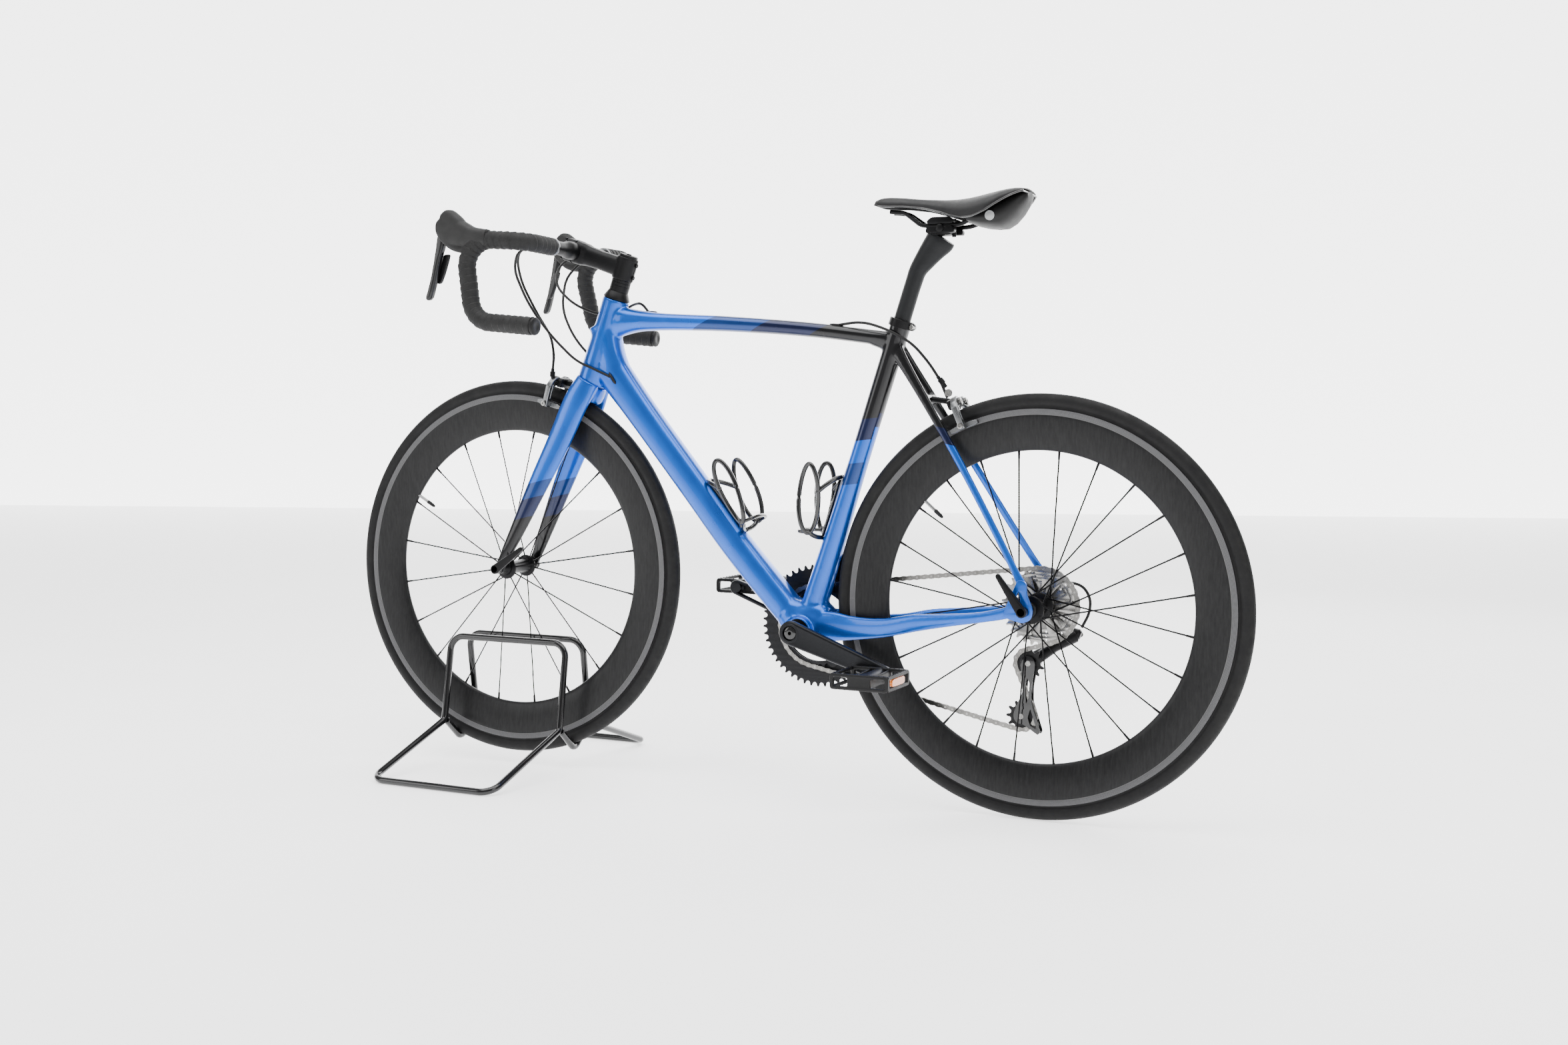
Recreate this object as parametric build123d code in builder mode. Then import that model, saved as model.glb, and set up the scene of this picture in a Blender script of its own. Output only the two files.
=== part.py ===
"""Road bicycle with its front wheel in a bent-tube stand.

Millimetres, +Z up. The origin is on the floor below the middle of the wheelbase. The front of the
bicycle points to -X, its left side to -Y and its right (drive) side to +Y.
"""
import os
from math import acos, asin, atan2, cos, degrees, hypot, radians, sin, sqrt, tan

from build123d import *

os.makedirs("parts", exist_ok=True)

# ---------------------------------------------------------------- driving dimensions
GAP = 0.3               # clearance between bodies that move apart
FIT = 0.06              # radial running clearance of a pin in its bore

# wheels
WHEELBASE = 971.3
WHEEL_R = 336.0
TYRE_R = 12.5
TYRE_WALL = 2.2
RIM_TOP_R = 312.0
RIM_BOTTOM_R = 247.0
RIM_HALF_WIDTH = 12.6
RIM_WALL = 1.8
SPOKE_R = 1.1
FRONT_SPOKES = 20
REAR_SPOKES = 24
FRONT_HUB_WIDTH = 100.0
REAR_HUB_WIDTH = 130.0
SKEWER_R = 2.5
DROPOUT_T = 6.0

# stand
STAND_LIFT = 22.3
STAND_TUBE_R = 6.0
STAND_HALF_LENGTH = 123.0
STAND_FOOT_Y = 258.0
STAND_BEND_Y = 50.0
STAND_BEND_Z = 76.0
STAND_TOP_Y = 27.0
STAND_TOP_Z = 228.0
STAND_BEND_R = 26.0

# steering
HEAD_ANGLE = 71.5
RAKE = 46.0
CROWN_S = 362.0         # crown race, along the head axis from the foot of the rake
HEAD_TUBE_LENGTH = 156.8
HEAD_TUBE_BOTTOM_R = 27.0
HEAD_TUBE_TOP_R = 23.5
STEERER_R = 14.3
SPACER_R = 17.0
SPACER_STACK = 35.0
STEM_CLAMP_HEIGHT = 40.0
STEM_CLAMP_R = 19.0
STEM_LENGTH = 100.0
BAR_CLAMP_R = 15.9
BAR_R = 12.0
TAPE_R = 15.6
TAPE_START_Y = 85.0
BAR_BEND_Y = 172.0
HOOD_Y = 182.0
DROP_END_Y = 203.5
BAR_REACH = 112.0
BAR_DROP = 142.0
HOOD_WIDTH = 30.0
LEVER_WIDTH = 13.0
LEVER_PIN_R = 2.0

# frame
BB_X = 93.0
BB_Z = 279.5
BB_SHELL_R = 24.0
BB_SHELL_HALF = 43.0
BB_BORE_R = 20.5
SPINDLE_R = 12.0
SEAT_ANGLE = 72.37
SEAT_TUBE_TOP_Z = 788.0
POST_R = 13.6
POST_BORE_DEPTH = 190.0
POST_TOP_Z = 862.0

# drive
PITCH = 12.7
CRANK_LENGTH = 172.5
CRANK_TILT = 18.9       # the left arm points rearward and down by this
BIG_TEETH = 50
SMALL_TEETH = 34
COG_TEETH = (30, 27, 24, 21, 19, 17, 15, 14, 13, 12, 11)
PULLEY_TEETH = 11
COG_SPACING = 3.69
FIRST_COG_Y = 22.0
TOOTH_T = 1.6
SMALL_RING_Y = 41.0
BIG_RING_Y = 47.2
CRANK_ARM_Y = 59.0
CRANK_ARM_T = 14.0
PEDAL_Y = 78.0
PEDAL_LENGTH = 96.0
GUIDE_PULLEY = (468.8, 244.2)
TENSION_PULLEY = (458.7, 158.9)

# ---------------------------------------------------------------- derived places
FRONT_AXLE = Vector(-WHEELBASE / 2, 0, WHEEL_R + STAND_LIFT)
REAR_AXLE = Vector(WHEELBASE / 2, 0, WHEEL_R)
BB = Vector(BB_X, 0, BB_Z)
HEAD_UP = Vector(cos(radians(HEAD_ANGLE)), 0, sin(radians(HEAD_ANGLE)))
HEAD_FORWARD = Vector(-sin(radians(HEAD_ANGLE)), 0, cos(radians(HEAD_ANGLE)))
HEAD_FOOT = FRONT_AXLE - HEAD_FORWARD * RAKE
SEAT_UP = Vector(cos(radians(SEAT_ANGLE)), 0, sin(radians(SEAT_ANGLE)))
SIDE = Vector(0, 1, 0)
LEFT, RIGHT = -1, 1


def on_head(s):
    """Point on the head axis, s above the crown race."""
    return HEAD_FOOT + HEAD_UP * (CROWN_S + s)


def on_seat(z):
    """Point on the seat tube's axis at height z."""
    return BB + SEAT_UP * ((z - BB_Z) / SEAT_UP.Z)


def pitch_radius(teeth):
    return PITCH / 2 / sin(radians(180 / teeth))


# ---------------------------------------------------------------- shared shapes
def tube(start, end, radius):
    """Straight round bar from start to end."""
    with BuildPart() as bar:
        with BuildSketch(Plane(origin=start, z_dir=end - start)):
            Circle(radius)
        extrude(amount=(end - start).length)
    return bar.part


def ring_y(x, z, y_low, y_high, outer, inner=0):
    """Disc or ring about an axis along Y."""
    with BuildPart() as disc:
        with BuildSketch(Plane(origin=(x, y_high, z), x_dir=(1, 0, 0), z_dir=(0, -1, 0))):
            Circle(outer)
            if inner:
                Circle(inner, mode=Mode.SUBTRACT)
        extrude(amount=y_high - y_low)
    return disc.part


def slab_y(outline, y_low, y_high):
    """Plate with a closed (x, z) outline, between two values of y."""
    with BuildPart() as plate:
        with BuildSketch(Plane(origin=(0, y_high, 0), x_dir=(1, 0, 0), z_dir=(0, -1, 0))):
            with BuildLine():
                Polyline(*outline, close=True)
            make_face()
        extrude(amount=y_high - y_low)
    return plate.part


def link_y(a, b, radius_a, radius_b, y_low, y_high):
    """Plate shaped like a link, round two (x, z) centres."""
    with BuildPart() as plate:
        with BuildSketch(Plane(origin=(0, y_high, 0), x_dir=(1, 0, 0), z_dir=(0, -1, 0))):
            with Locations(a):
                Circle(radius_a)
            with Locations(b):
                Circle(radius_b)
            make_hull()
        extrude(amount=y_high - y_low)
    return plate.part


def oval_tube(stations):
    """Smooth tube through (x, y, z, width across, depth in the side view)."""
    centres = [Vector(x, y, z) for x, y, z, _, _ in stations]
    with BuildPart() as body:
        for i, (_, _, _, width, depth) in enumerate(stations):
            before = centres[max(i - 1, 0)]
            after = centres[min(i + 1, len(centres) - 1)]
            heading = after - before
            flat = Vector(heading.X, 0, heading.Z)
            with BuildSketch(Plane(origin=centres[i], x_dir=(0, 1, 0), z_dir=flat)):
                Ellipse(width / 2, depth / 2)
        loft()
    return body.part


def bent_tube(points, radii, outer, inner=0):
    """Round tube along straight runs joined by tangent arcs."""
    with BuildLine() as route:
        FilletPolyline(*points, radius=radii)
    start = Vector(*points[0])
    heading = Vector(*points[1]) - start
    with BuildPart() as body:
        with BuildSketch(Plane(origin=start, z_dir=heading)):
            Circle(outer)
            if inner:
                Circle(inner, mode=Mode.SUBTRACT)
        sweep(path=route.wires()[0])
    return body.part


def arc_radii(points):
    """Largest tangent arcs a hand-chosen cable route allows, one for each corner."""
    radii = []
    for before, corner, after in zip(points, points[1:], points[2:]):
        run_in = Vector(*corner) - Vector(*before)
        run_out = Vector(*after) - Vector(*corner)
        half_turn = radians(run_in.get_angle(run_out)) / 2
        radii.append(0.45 * min(run_in.length, run_out.length) / tan(half_turn))
    return radii


def toothed_disc(x, z, y_middle, teeth, bore, thickness=TOOTH_T):
    """Sprocket: a disc with a roller seat at each pitch."""
    radius = pitch_radius(teeth)
    with BuildPart() as disc:
        plane = Plane(origin=(x, y_middle, z), x_dir=(1, 0, 0), z_dir=(0, -1, 0))
        with BuildSketch(plane):
            Circle(radius + 3.0)
            with PolarLocations(radius, teeth):
                Circle(3.95, mode=Mode.SUBTRACT)
            Circle(bore, mode=Mode.SUBTRACT)
        extrude(amount=thickness / 2, both=True)
    return disc.part


def finish(builder, label):
    builder.part.label = label
    export_step(builder.part, f"parts/{label}.step")


# ---------------------------------------------------------------- stand
def stand_side(side):
    """Closed bent tube: foot, two legs, two uprights and the top rail."""
    x_front = FRONT_AXLE.X - STAND_HALF_LENGTH
    x_rear = FRONT_AXLE.X + STAND_HALF_LENGTH
    top = (side * STAND_TOP_Y, STAND_TOP_Z)
    bend = (side * STAND_BEND_Y, STAND_BEND_Z)
    foot = (side * STAND_FOOT_Y, STAND_TUBE_R)
    middle = FRONT_AXLE.X
    corners = [(middle, *top), (x_front, *top), (x_front, *bend), (x_front, *foot), (middle, *foot)]
    rear = [(middle, *foot), (x_rear, *foot), (x_rear, *bend), (x_rear, *top), (middle, *top)]
    radii = [STAND_BEND_R, STAND_BEND_R / 2, STAND_BEND_R]
    return bent_tube(corners, radii, STAND_TUBE_R), bent_tube(rear, radii, STAND_TUBE_R)


left_halves = stand_side(LEFT)
right_halves = stand_side(RIGHT)
with BuildPart() as stand_side_left:
    add(left_halves[0])
    add(left_halves[1])
finish(stand_side_left, "stand_side_left")

with BuildPart() as stand_side_right:
    add(right_halves[0])
    add(right_halves[1])
finish(stand_side_right, "stand_side_right")

# Each cradle bar is a V whose two arms just miss the tyre's sides.
tyre_core_r = WHEEL_R - TYRE_R
tyre_core_z = FRONT_AXLE.Z - sqrt(tyre_core_r**2 - STAND_HALF_LENGTH**2)
tyre_reach = TYRE_R / cos(asin(STAND_HALF_LENGTH / tyre_core_r)) + STAND_TUBE_R + GAP
side_y = STAND_BEND_Y - 4
rise = STAND_BEND_Z - 2 - tyre_core_z
cradle_slope = atan2(rise, side_y) + asin(tyre_reach / hypot(rise, side_y))
cradle_z = STAND_BEND_Z - 2 - side_y * tan(cradle_slope)
cradle_bars = []
for end in (-1, 1):
    x = FRONT_AXLE.X + end * STAND_HALF_LENGTH
    route = [(x, -side_y, STAND_BEND_Z - 2), (x, 0, cradle_z), (x, side_y, STAND_BEND_Z - 2)]
    cradle_bars.append(bent_tube(route, [1.5 * STAND_TUBE_R], STAND_TUBE_R))
with BuildPart() as stand_cradles:
    add(cradle_bars)
    add(left_halves, mode=Mode.SUBTRACT)
    add(right_halves, mode=Mode.SUBTRACT)
finish(stand_cradles, "stand_cradles")


# ---------------------------------------------------------------- wheels
def wheel_plane(axle):
    """Section plane of a wheel: local x is +Y, local y is +Z."""
    return Plane(origin=axle, x_dir=(0, 1, 0), z_dir=(1, 0, 0))


def make_tyre(axle, label):
    with BuildPart() as tyre:
        with BuildSketch(wheel_plane(axle)):
            with Locations((0, WHEEL_R - TYRE_R)):
                Circle(TYRE_R)
            with Locations((0, (RIM_TOP_R + WHEEL_R - TYRE_R) / 2)):
                Rectangle(1.6 * TYRE_R, WHEEL_R - TYRE_R - RIM_TOP_R)
            with Locations((0, WHEEL_R - TYRE_R)):
                Circle(TYRE_R - TYRE_WALL, mode=Mode.SUBTRACT)
            with Locations((0, RIM_TOP_R + 4)):
                Rectangle(TYRE_R, 12, mode=Mode.SUBTRACT)
        revolve(axis=Axis(axle, (0, 1, 0)))
    finish(tyre, label)


def make_rim(axle, label):
    """Deep rim: brake tracks outside, a rounded V towards the hub, open under the tyre."""
    track_foot = RIM_TOP_R - 9
    with BuildPart() as rim:
        with BuildSketch(wheel_plane(axle)):
            with BuildLine():
                Line((-RIM_HALF_WIDTH, RIM_TOP_R), (RIM_HALF_WIDTH, RIM_TOP_R))
                Line((RIM_HALF_WIDTH, RIM_TOP_R), (RIM_HALF_WIDTH, track_foot))
                ThreePointArc((RIM_HALF_WIDTH, track_foot), (9.6, 272), (3, RIM_BOTTOM_R))
                Line((3, RIM_BOTTOM_R), (-3, RIM_BOTTOM_R))
                ThreePointArc((-3, RIM_BOTTOM_R), (-9.6, 272), (-RIM_HALF_WIDTH, track_foot))
                Line((-RIM_HALF_WIDTH, track_foot), (-RIM_HALF_WIDTH, RIM_TOP_R))
            make_face()
            with BuildLine():
                well = RIM_HALF_WIDTH - RIM_WALL
                Polyline((-well, RIM_TOP_R + 1), (well, RIM_TOP_R + 1), (well, track_foot),
                         (9.6 - RIM_WALL, 274), (1.5, RIM_BOTTOM_R + 6), (-1.5, RIM_BOTTOM_R + 6),
                         (RIM_WALL - 9.6, 274), (-well, track_foot), close=True)
            make_face(mode=Mode.SUBTRACT)
        revolve(axis=Axis(axle, (0, 1, 0)))
    finish(rim, label)


def make_spokes(axle, count, left_flange, right_flange, flange_r, twist, label):
    """Straight spokes, every second one to the other flange."""
    bars = []
    for i in range(count):
        angle = 360 / count * (i + 0.5)
        flange_y = left_flange if i % 2 else right_flange
        lean = twist * (1 if (i // 2) % 2 else -1)
        beside = 1.7 if lean > 0 else -1.7 if lean < 0 else 0
        hub_point = axle + Vector(flange_r, 0, 0).rotate(Axis.Y, angle + lean)
        hub_point += SIDE * (flange_y + beside)
        rim_point = axle + Vector(RIM_BOTTOM_R + 1.5, 0, 0).rotate(Axis.Y, angle)
        bars.append(tube(hub_point, rim_point, SPOKE_R))
    with BuildPart() as spokes:
        add(bars)
    finish(spokes, label)


def make_hub(axle, half_width, flanges, flange_r, freehub, label):
    """Turned hub shell with two flanges, end caps and a bore for the skewer."""
    left_y, right_y = flanges
    end = half_width - 0.1
    with BuildPart() as hub:
        add(ring_y(axle.X, axle.Z, -end, end, 8.5))
        add(ring_y(axle.X, axle.Z, left_y, right_y, 13.5))
        for flange_y in flanges:
            add(ring_y(axle.X, axle.Z, flange_y - 2, flange_y + 2, flange_r + 2.5))
        if freehub:
            add(ring_y(axle.X, axle.Z, right_y, freehub[1], freehub[0]))
        add(ring_y(axle.X, axle.Z, -half_width - 1, half_width + 1, SKEWER_R + FIT),
            mode=Mode.SUBTRACT)
    finish(hub, label)


def make_skewer(axle, half_width, lever_angle, label):
    """Rod with an end nut and a long slim lever on the left."""
    outer = half_width + DROPOUT_T
    tip = Vector(66, 0, 0).rotate(Axis.Y, -lever_angle)
    lever = link_y((axle.X, axle.Z), (axle.X + tip.X, axle.Z + tip.Z), 8.5, 4,
                   -outer - 15, -outer - 7)
    with BuildPart() as skewer:
        add(ring_y(axle.X, axle.Z, -outer - 8, outer + 2, SKEWER_R))
        add(ring_y(axle.X, axle.Z, -outer - 15, -outer - GAP, 8.5))
        add(lever)
        add(ring_y(axle.X, axle.Z, outer + GAP, outer + 11, 8))
    finish(skewer, label)


FRONT_FLANGES = (-31.0, 31.0)
REAR_FLANGES = (-36.0, 16.0)
FREEHUB_R = 17.0
FREEHUB_END = 61.0

make_tyre(FRONT_AXLE, "front_tyre")
make_rim(FRONT_AXLE, "front_rim")
make_spokes(FRONT_AXLE, FRONT_SPOKES, *FRONT_FLANGES, 17, 0, "front_spokes")
make_hub(FRONT_AXLE, FRONT_HUB_WIDTH / 2, FRONT_FLANGES, 17, None, "front_hub")
make_skewer(FRONT_AXLE, FRONT_HUB_WIDTH / 2, 35, "front_skewer")

make_tyre(REAR_AXLE, "rear_tyre")
make_rim(REAR_AXLE, "rear_rim")
make_spokes(REAR_AXLE, REAR_SPOKES, *REAR_FLANGES, 20, 50, "rear_spokes")
make_hub(REAR_AXLE, REAR_HUB_WIDTH / 2, REAR_FLANGES, 20, (FREEHUB_R, FREEHUB_END), "rear_hub")
make_skewer(REAR_AXLE, REAR_HUB_WIDTH / 2, 125, "rear_skewer")

cogs = []
for i, teeth in enumerate(COG_TEETH):
    cogs.append(toothed_disc(REAR_AXLE.X, REAR_AXLE.Z, FIRST_COG_Y + i * COG_SPACING, teeth,
                             FREEHUB_R + 0.1))
LAST_COG_Y = FIRST_COG_Y + (len(COG_TEETH) - 1) * COG_SPACING
cog_sleeve = ring_y(REAR_AXLE.X, REAR_AXLE.Z, FIRST_COG_Y, LAST_COG_Y, FREEHUB_R + 1.1,
                    FREEHUB_R + 0.1)
with BuildPart() as cassette:
    add(cog_sleeve)
    add(cogs)
finish(cassette, "cassette")


# ---------------------------------------------------------------- fork
def blade(side):
    return oval_tube([
        (-334, side * 27, 672, 20, 50),
        (-372, side * 34, 590, 19, 46),
        (-412, side * 41, 510, 17, 39),
        (-452, side * 48, 427, 13, 30),
        (-474, side * 53, 382, 7, 24),
    ])


crown_top = on_head(-GAP)
crown_bottom = on_head(-26)
half_front = FRONT_HUB_WIDTH / 2
blades = [blade(LEFT), blade(RIGHT)]
fork_tips = []
for side in (LEFT, RIGHT):
    tip_low, tip_high = sorted((side * half_front, side * (half_front + DROPOUT_T)))
    fork_tips.append(link_y((FRONT_AXLE.X, FRONT_AXLE.Z), (-473, 384), 9, 10, tip_low, tip_high))
crown_plane = Plane(origin=crown_bottom, x_dir=(0, 1, 0), z_dir=HEAD_UP)
tyre_clearance = ring_y(FRONT_AXLE.X, FRONT_AXLE.Z, -18, 18, WHEEL_R + 5)
STEERER_TOP_S = HEAD_TUBE_LENGTH + SPACER_STACK + STEM_CLAMP_HEIGHT
with BuildPart() as fork:
    with BuildSketch(crown_plane):
        Ellipse(36, 24)
    with BuildSketch(crown_plane.offset((crown_top - crown_bottom).length)):
        Circle(HEAD_TUBE_BOTTOM_R)
    loft()
    add(blades)
    add(fork_tips)
    add(tyre_clearance, mode=Mode.SUBTRACT)
    add(tube(on_head(-8), on_head(STEERER_TOP_S - 2), STEERER_R))
    add(ring_y(FRONT_AXLE.X, FRONT_AXLE.Z, -80, 80, SKEWER_R + FIT), mode=Mode.SUBTRACT)
finish(fork, "fork")

# ---------------------------------------------------------------- headset and stem
spacer_foot = HEAD_TUBE_LENGTH + GAP
spacer_top = HEAD_TUBE_LENGTH + SPACER_STACK
spacer_plane = Plane(origin=on_head(spacer_foot), x_dir=(0, 1, 0), z_dir=HEAD_UP)
stem_top = on_head(STEERER_TOP_S)
with BuildPart() as headset_spacers:
    with BuildSketch(spacer_plane):
        Circle(HEAD_TUBE_TOP_R - 0.5)
    with BuildSketch(spacer_plane.offset(14)):
        Circle(SPACER_R)
    loft()
    add(tube(on_head(spacer_foot + 14), on_head(spacer_top), SPACER_R))
    add(tube(on_head(100), on_head(260), STEERER_R), mode=Mode.SUBTRACT)
    add(tube(stem_top, on_head(STEERER_TOP_S + 4.5), SPACER_R - 0.5))
finish(headset_spacers, "headset_spacers")

stem_middle = on_head(spacer_top + STEM_CLAMP_HEIGHT / 2)
bar_centre = stem_middle + HEAD_FORWARD * STEM_LENGTH
face_plane = Plane(origin=bar_centre - HEAD_FORWARD * 0.6, x_dir=(0, 1, 0), z_dir=HEAD_FORWARD)
with BuildPart() as stem:
    add(tube(on_head(spacer_top), stem_top, STEM_CLAMP_R))
    with BuildSketch(Plane(origin=stem_middle, x_dir=(0, 1, 0), z_dir=HEAD_FORWARD)):
        RectangleRounded(34, 36, 14)
    with BuildSketch(face_plane):
        RectangleRounded(42, 40, 8)
    loft()
    add(tube(on_head(100), on_head(300), STEERER_R), mode=Mode.SUBTRACT)
    add(tube(bar_centre - SIDE * 60, bar_centre + SIDE * 60, BAR_CLAMP_R), mode=Mode.SUBTRACT)
finish(stem, "stem")

with BuildPart() as stem_faceplate:
    with BuildSketch(face_plane.offset(1.2)):
        RectangleRounded(42, 40, 8)
    extrude(amount=19)
    fillet(stem_faceplate.faces().sort_by(Axis.X)[0].edges(), 5)
    add(tube(bar_centre - SIDE * 60, bar_centre + SIDE * 60, BAR_CLAMP_R), mode=Mode.SUBTRACT)
finish(stem_faceplate, "stem_faceplate")

bolt_heads = []
for across in (-15, 15):
    for up in (-16.5, 16.5):
        seat = bar_centre + SIDE * across + HEAD_UP * up + HEAD_FORWARD * 19.6
        bolt_heads.append(tube(seat, seat + HEAD_FORWARD * 2.5, 2.8))
for up in (9, 31):
    seat = on_head(spacer_top + up) - HEAD_FORWARD * (STEM_CLAMP_R + 0.01)
    bolt_heads.append(tube(seat, seat - HEAD_FORWARD * 3, 3.4))
bolt_heads.append(tube(on_head(STEERER_TOP_S + 4.5), on_head(STEERER_TOP_S + 6.5), 4))
with BuildPart() as stem_bolts:
    add(bolt_heads)
finish(stem_bolts, "stem_bolts")


# ---------------------------------------------------------------- handlebar
def bar_route(side, start_y):
    """Centre line from the tops, through the hood bend, to the end of the drop."""
    x, z = bar_centre.X, bar_centre.Z
    return [
        (x, side * start_y, z + 2 * start_y / BAR_BEND_Y),
        (x, side * BAR_BEND_Y, z + 2),
        (x - BAR_REACH, side * (HOOD_Y + 2), z + 9),
        (x - 0.75 * BAR_REACH, side * (DROP_END_Y - 6), z - 0.92 * BAR_DROP),
        (x + 41, side * DROP_END_Y, z - BAR_DROP),
    ]


BAR_RADII = [38, 42, 46]
bar_sides = []
bar_bores = []
tapes = []
for side in (LEFT, RIGHT):
    bar_sides.append(bent_tube(bar_route(side, 0), BAR_RADII, BAR_R))
    bar_bores.append(bent_tube(bar_route(side, 0), BAR_RADII, BAR_R - 2))
    tapes.append(bent_tube(bar_route(side, TAPE_START_Y), BAR_RADII, TAPE_R, BAR_R))
with BuildPart() as handlebar:
    add(tube(bar_centre - SIDE * 30, bar_centre + SIDE * 30, BAR_CLAMP_R))
    add(bar_sides)
    add(bar_bores, mode=Mode.SUBTRACT)
finish(handlebar, "handlebar")

with BuildPart() as bar_tape:
    add(tapes)
finish(bar_tape, "bar_tape")

plugs = []
for side in (LEFT, RIGHT):
    last, end = [Vector(*p) for p in bar_route(side, 0)[-2:]]
    outward = (end - last).normalized()
    plugs.append(tube(end + outward * 0.05, end + outward * 5, TAPE_R - 1))
with BuildPart() as bar_end_plugs:
    add(plugs)
finish(bar_end_plugs, "bar_end_plugs")

# Hoods and levers are laid out from the lever's pivot.
PIVOT = (bar_centre.X - 156, bar_centre.Z + 20)


def near_pivot(*offsets):
    return [(PIVOT[0] + dx, PIVOT[1] + dz) for dx, dz in offsets]


hood_outline = near_pivot((88, 4), (56, 8), (34, 27), (20, 36), (4, 32), (-5, 18), (-8, 8),
                          (-9, -4), (-4, -9), (12, -14), (24, -30), (46, -28), (70, -24), (88, -22))
lever_outline = near_pivot((6, 6), (-5, 7), (-9, -6), (-17, -50), (-33, -106), (-29, -113),
                           (-21, -108), (-9, -60), (3, -26), (6, -12))
slot_outline = near_pivot((12, 11), (-12, 11), (-60, -40), (-30, -130), (26, -130), (26, -36), (14, -12))
paddle_outline = near_pivot((10, -34), (-6, -34), (-20, -80), (-17, -85), (-10, -84), (4, -50))

tape_cores = []
for side in (LEFT, RIGHT):
    tape_cores.append(bent_tube(bar_route(side, TAPE_START_Y), BAR_RADII, TAPE_R + 0.02))
hood_bodies = []
for side, core in zip((LEFT, RIGHT), tape_cores):
    middle = side * HOOD_Y
    with BuildPart() as hood_body:
        add(slab_y(hood_outline, middle - HOOD_WIDTH / 2, middle + HOOD_WIDTH / 2))
        fillet(hood_body.edges().filter_by(Plane.XZ), 5)
        half_slot = LEVER_WIDTH / 2 + GAP
        add(slab_y(slot_outline, middle - half_slot, middle + half_slot), mode=Mode.SUBTRACT)
        add(ring_y(*PIVOT, middle - HOOD_WIDTH / 2 + 2, middle + HOOD_WIDTH / 2 - 2, LEVER_PIN_R))
        add(core, mode=Mode.SUBTRACT)
    hood_bodies.append(hood_body.part)
with BuildPart() as brake_hoods:
    add(hood_bodies)
finish(brake_hoods, "brake_hoods")

for side, hand in ((LEFT, "left"), (RIGHT, "right")):
    middle = side * HOOD_Y
    low, high = middle - LEVER_WIDTH / 2, middle + LEVER_WIDTH / 2
    with BuildPart() as brake_lever:
        add(slab_y(lever_outline, low, high))
        add(ring_y(*PIVOT, low - 1, high + 1, LEVER_PIN_R + FIT), mode=Mode.SUBTRACT)
    finish(brake_lever, f"brake_lever_{hand}")
    inner = middle - side * (LEVER_WIDTH / 2 + GAP)
    paddle_low, paddle_high = sorted((inner, inner - side * 5))
    with BuildPart() as shift_paddle:
        add(slab_y(paddle_outline, paddle_low, paddle_high))
    finish(shift_paddle, f"shift_paddle_{hand}")

# ---------------------------------------------------------------- rim brakes
PAD_R = RIM_TOP_R - 5
ARM_T = 10.0
PAD_GAP = 1.8
ARM_PIVOT_R = WHEEL_R + 11
ARM_PIVOT_Y = 15.0
ARM_PIN_R = 3.0


def brake_plane(axle, angle):
    """Plane across the tyre at an angle from +X: local x is +Y, local y points away from the axle."""
    outward = Vector(cos(radians(angle)), 0, sin(radians(angle)))
    return Plane(origin=axle, x_dir=(0, 1, 0), z_dir=outward.cross(SIDE) * -1)


def brake_arm(axle, angle, side):
    """Curved arm from its pin, round the tyre, to a shoe beside the brake track."""
    plane = brake_plane(axle, angle)
    with BuildPart() as arm:
        with BuildSketch(plane):
            with BuildLine():
                Polyline((side * 9, ARM_PIVOT_R + 9), (side * 24, ARM_PIVOT_R + 7),
                         (side * 37, ARM_PIVOT_R - 8), (side * 37, PAD_R - 6),
                         (side * 22, PAD_R - 6), (side * 22, PAD_R + 8), (side * 25, PAD_R + 22),
                         (side * 20, ARM_PIVOT_R - 7), (side * 9, ARM_PIVOT_R - 6), close=True)
            make_face()
            with Locations((side * ARM_PIVOT_Y, ARM_PIVOT_R)):
                Circle(ARM_PIN_R + FIT, mode=Mode.SUBTRACT)
        extrude(amount=ARM_T / 2, both=True)
        pad_inner = RIM_HALF_WIDTH + PAD_GAP
        with BuildSketch(plane):
            with Locations((side * (pad_inner + 22.5) / 2, PAD_R - 0.5)):
                Rectangle(22.5 - pad_inner, 8)
        extrude(amount=24, both=True)
    return arm


def make_caliper(axle, angle, mount, name):
    """Caliper body with two arm pins and its mounting bolt, then the two arms."""
    plane = brake_plane(axle, angle)
    away = ARM_T / 2 + GAP
    block_side = 1 if (mount - axle).dot(plane.z_dir) > 0 else -1
    for side, hand in ((LEFT, "left"), (RIGHT, "right")):
        finish(brake_arm(axle, angle, side), f"{name}_brake_arm_{hand}")
    bolt_foot = axle + plane.y_dir * ARM_PIVOT_R + plane.z_dir * (block_side * (away + 4))
    with BuildPart() as body:
        with BuildSketch(plane.offset(block_side * away)):
            with Locations((0, ARM_PIVOT_R)):
                RectangleRounded(2 * ARM_PIVOT_Y + 12, 17, 6)
        extrude(amount=block_side * 9)
        with BuildSketch(plane.offset(block_side * (away + 4))):
            with Locations((-ARM_PIVOT_Y, ARM_PIVOT_R), (ARM_PIVOT_Y, ARM_PIVOT_R)):
                Circle(ARM_PIN_R)
        extrude(amount=-block_side * (away + 4 + ARM_T / 2 + 2))
        add(tube(bolt_foot, mount, 5))
    finish(body, f"{name}_caliper_body")
    return body.part


make_caliper(FRONT_AXLE, 74.3, on_head(-8) + HEAD_FORWARD * 20, "front")
REAR_BRIDGE = Vector(302, 0, 663)
rear_caliper = make_caliper(REAR_AXLE, 112.4, REAR_BRIDGE, "rear")

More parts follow.
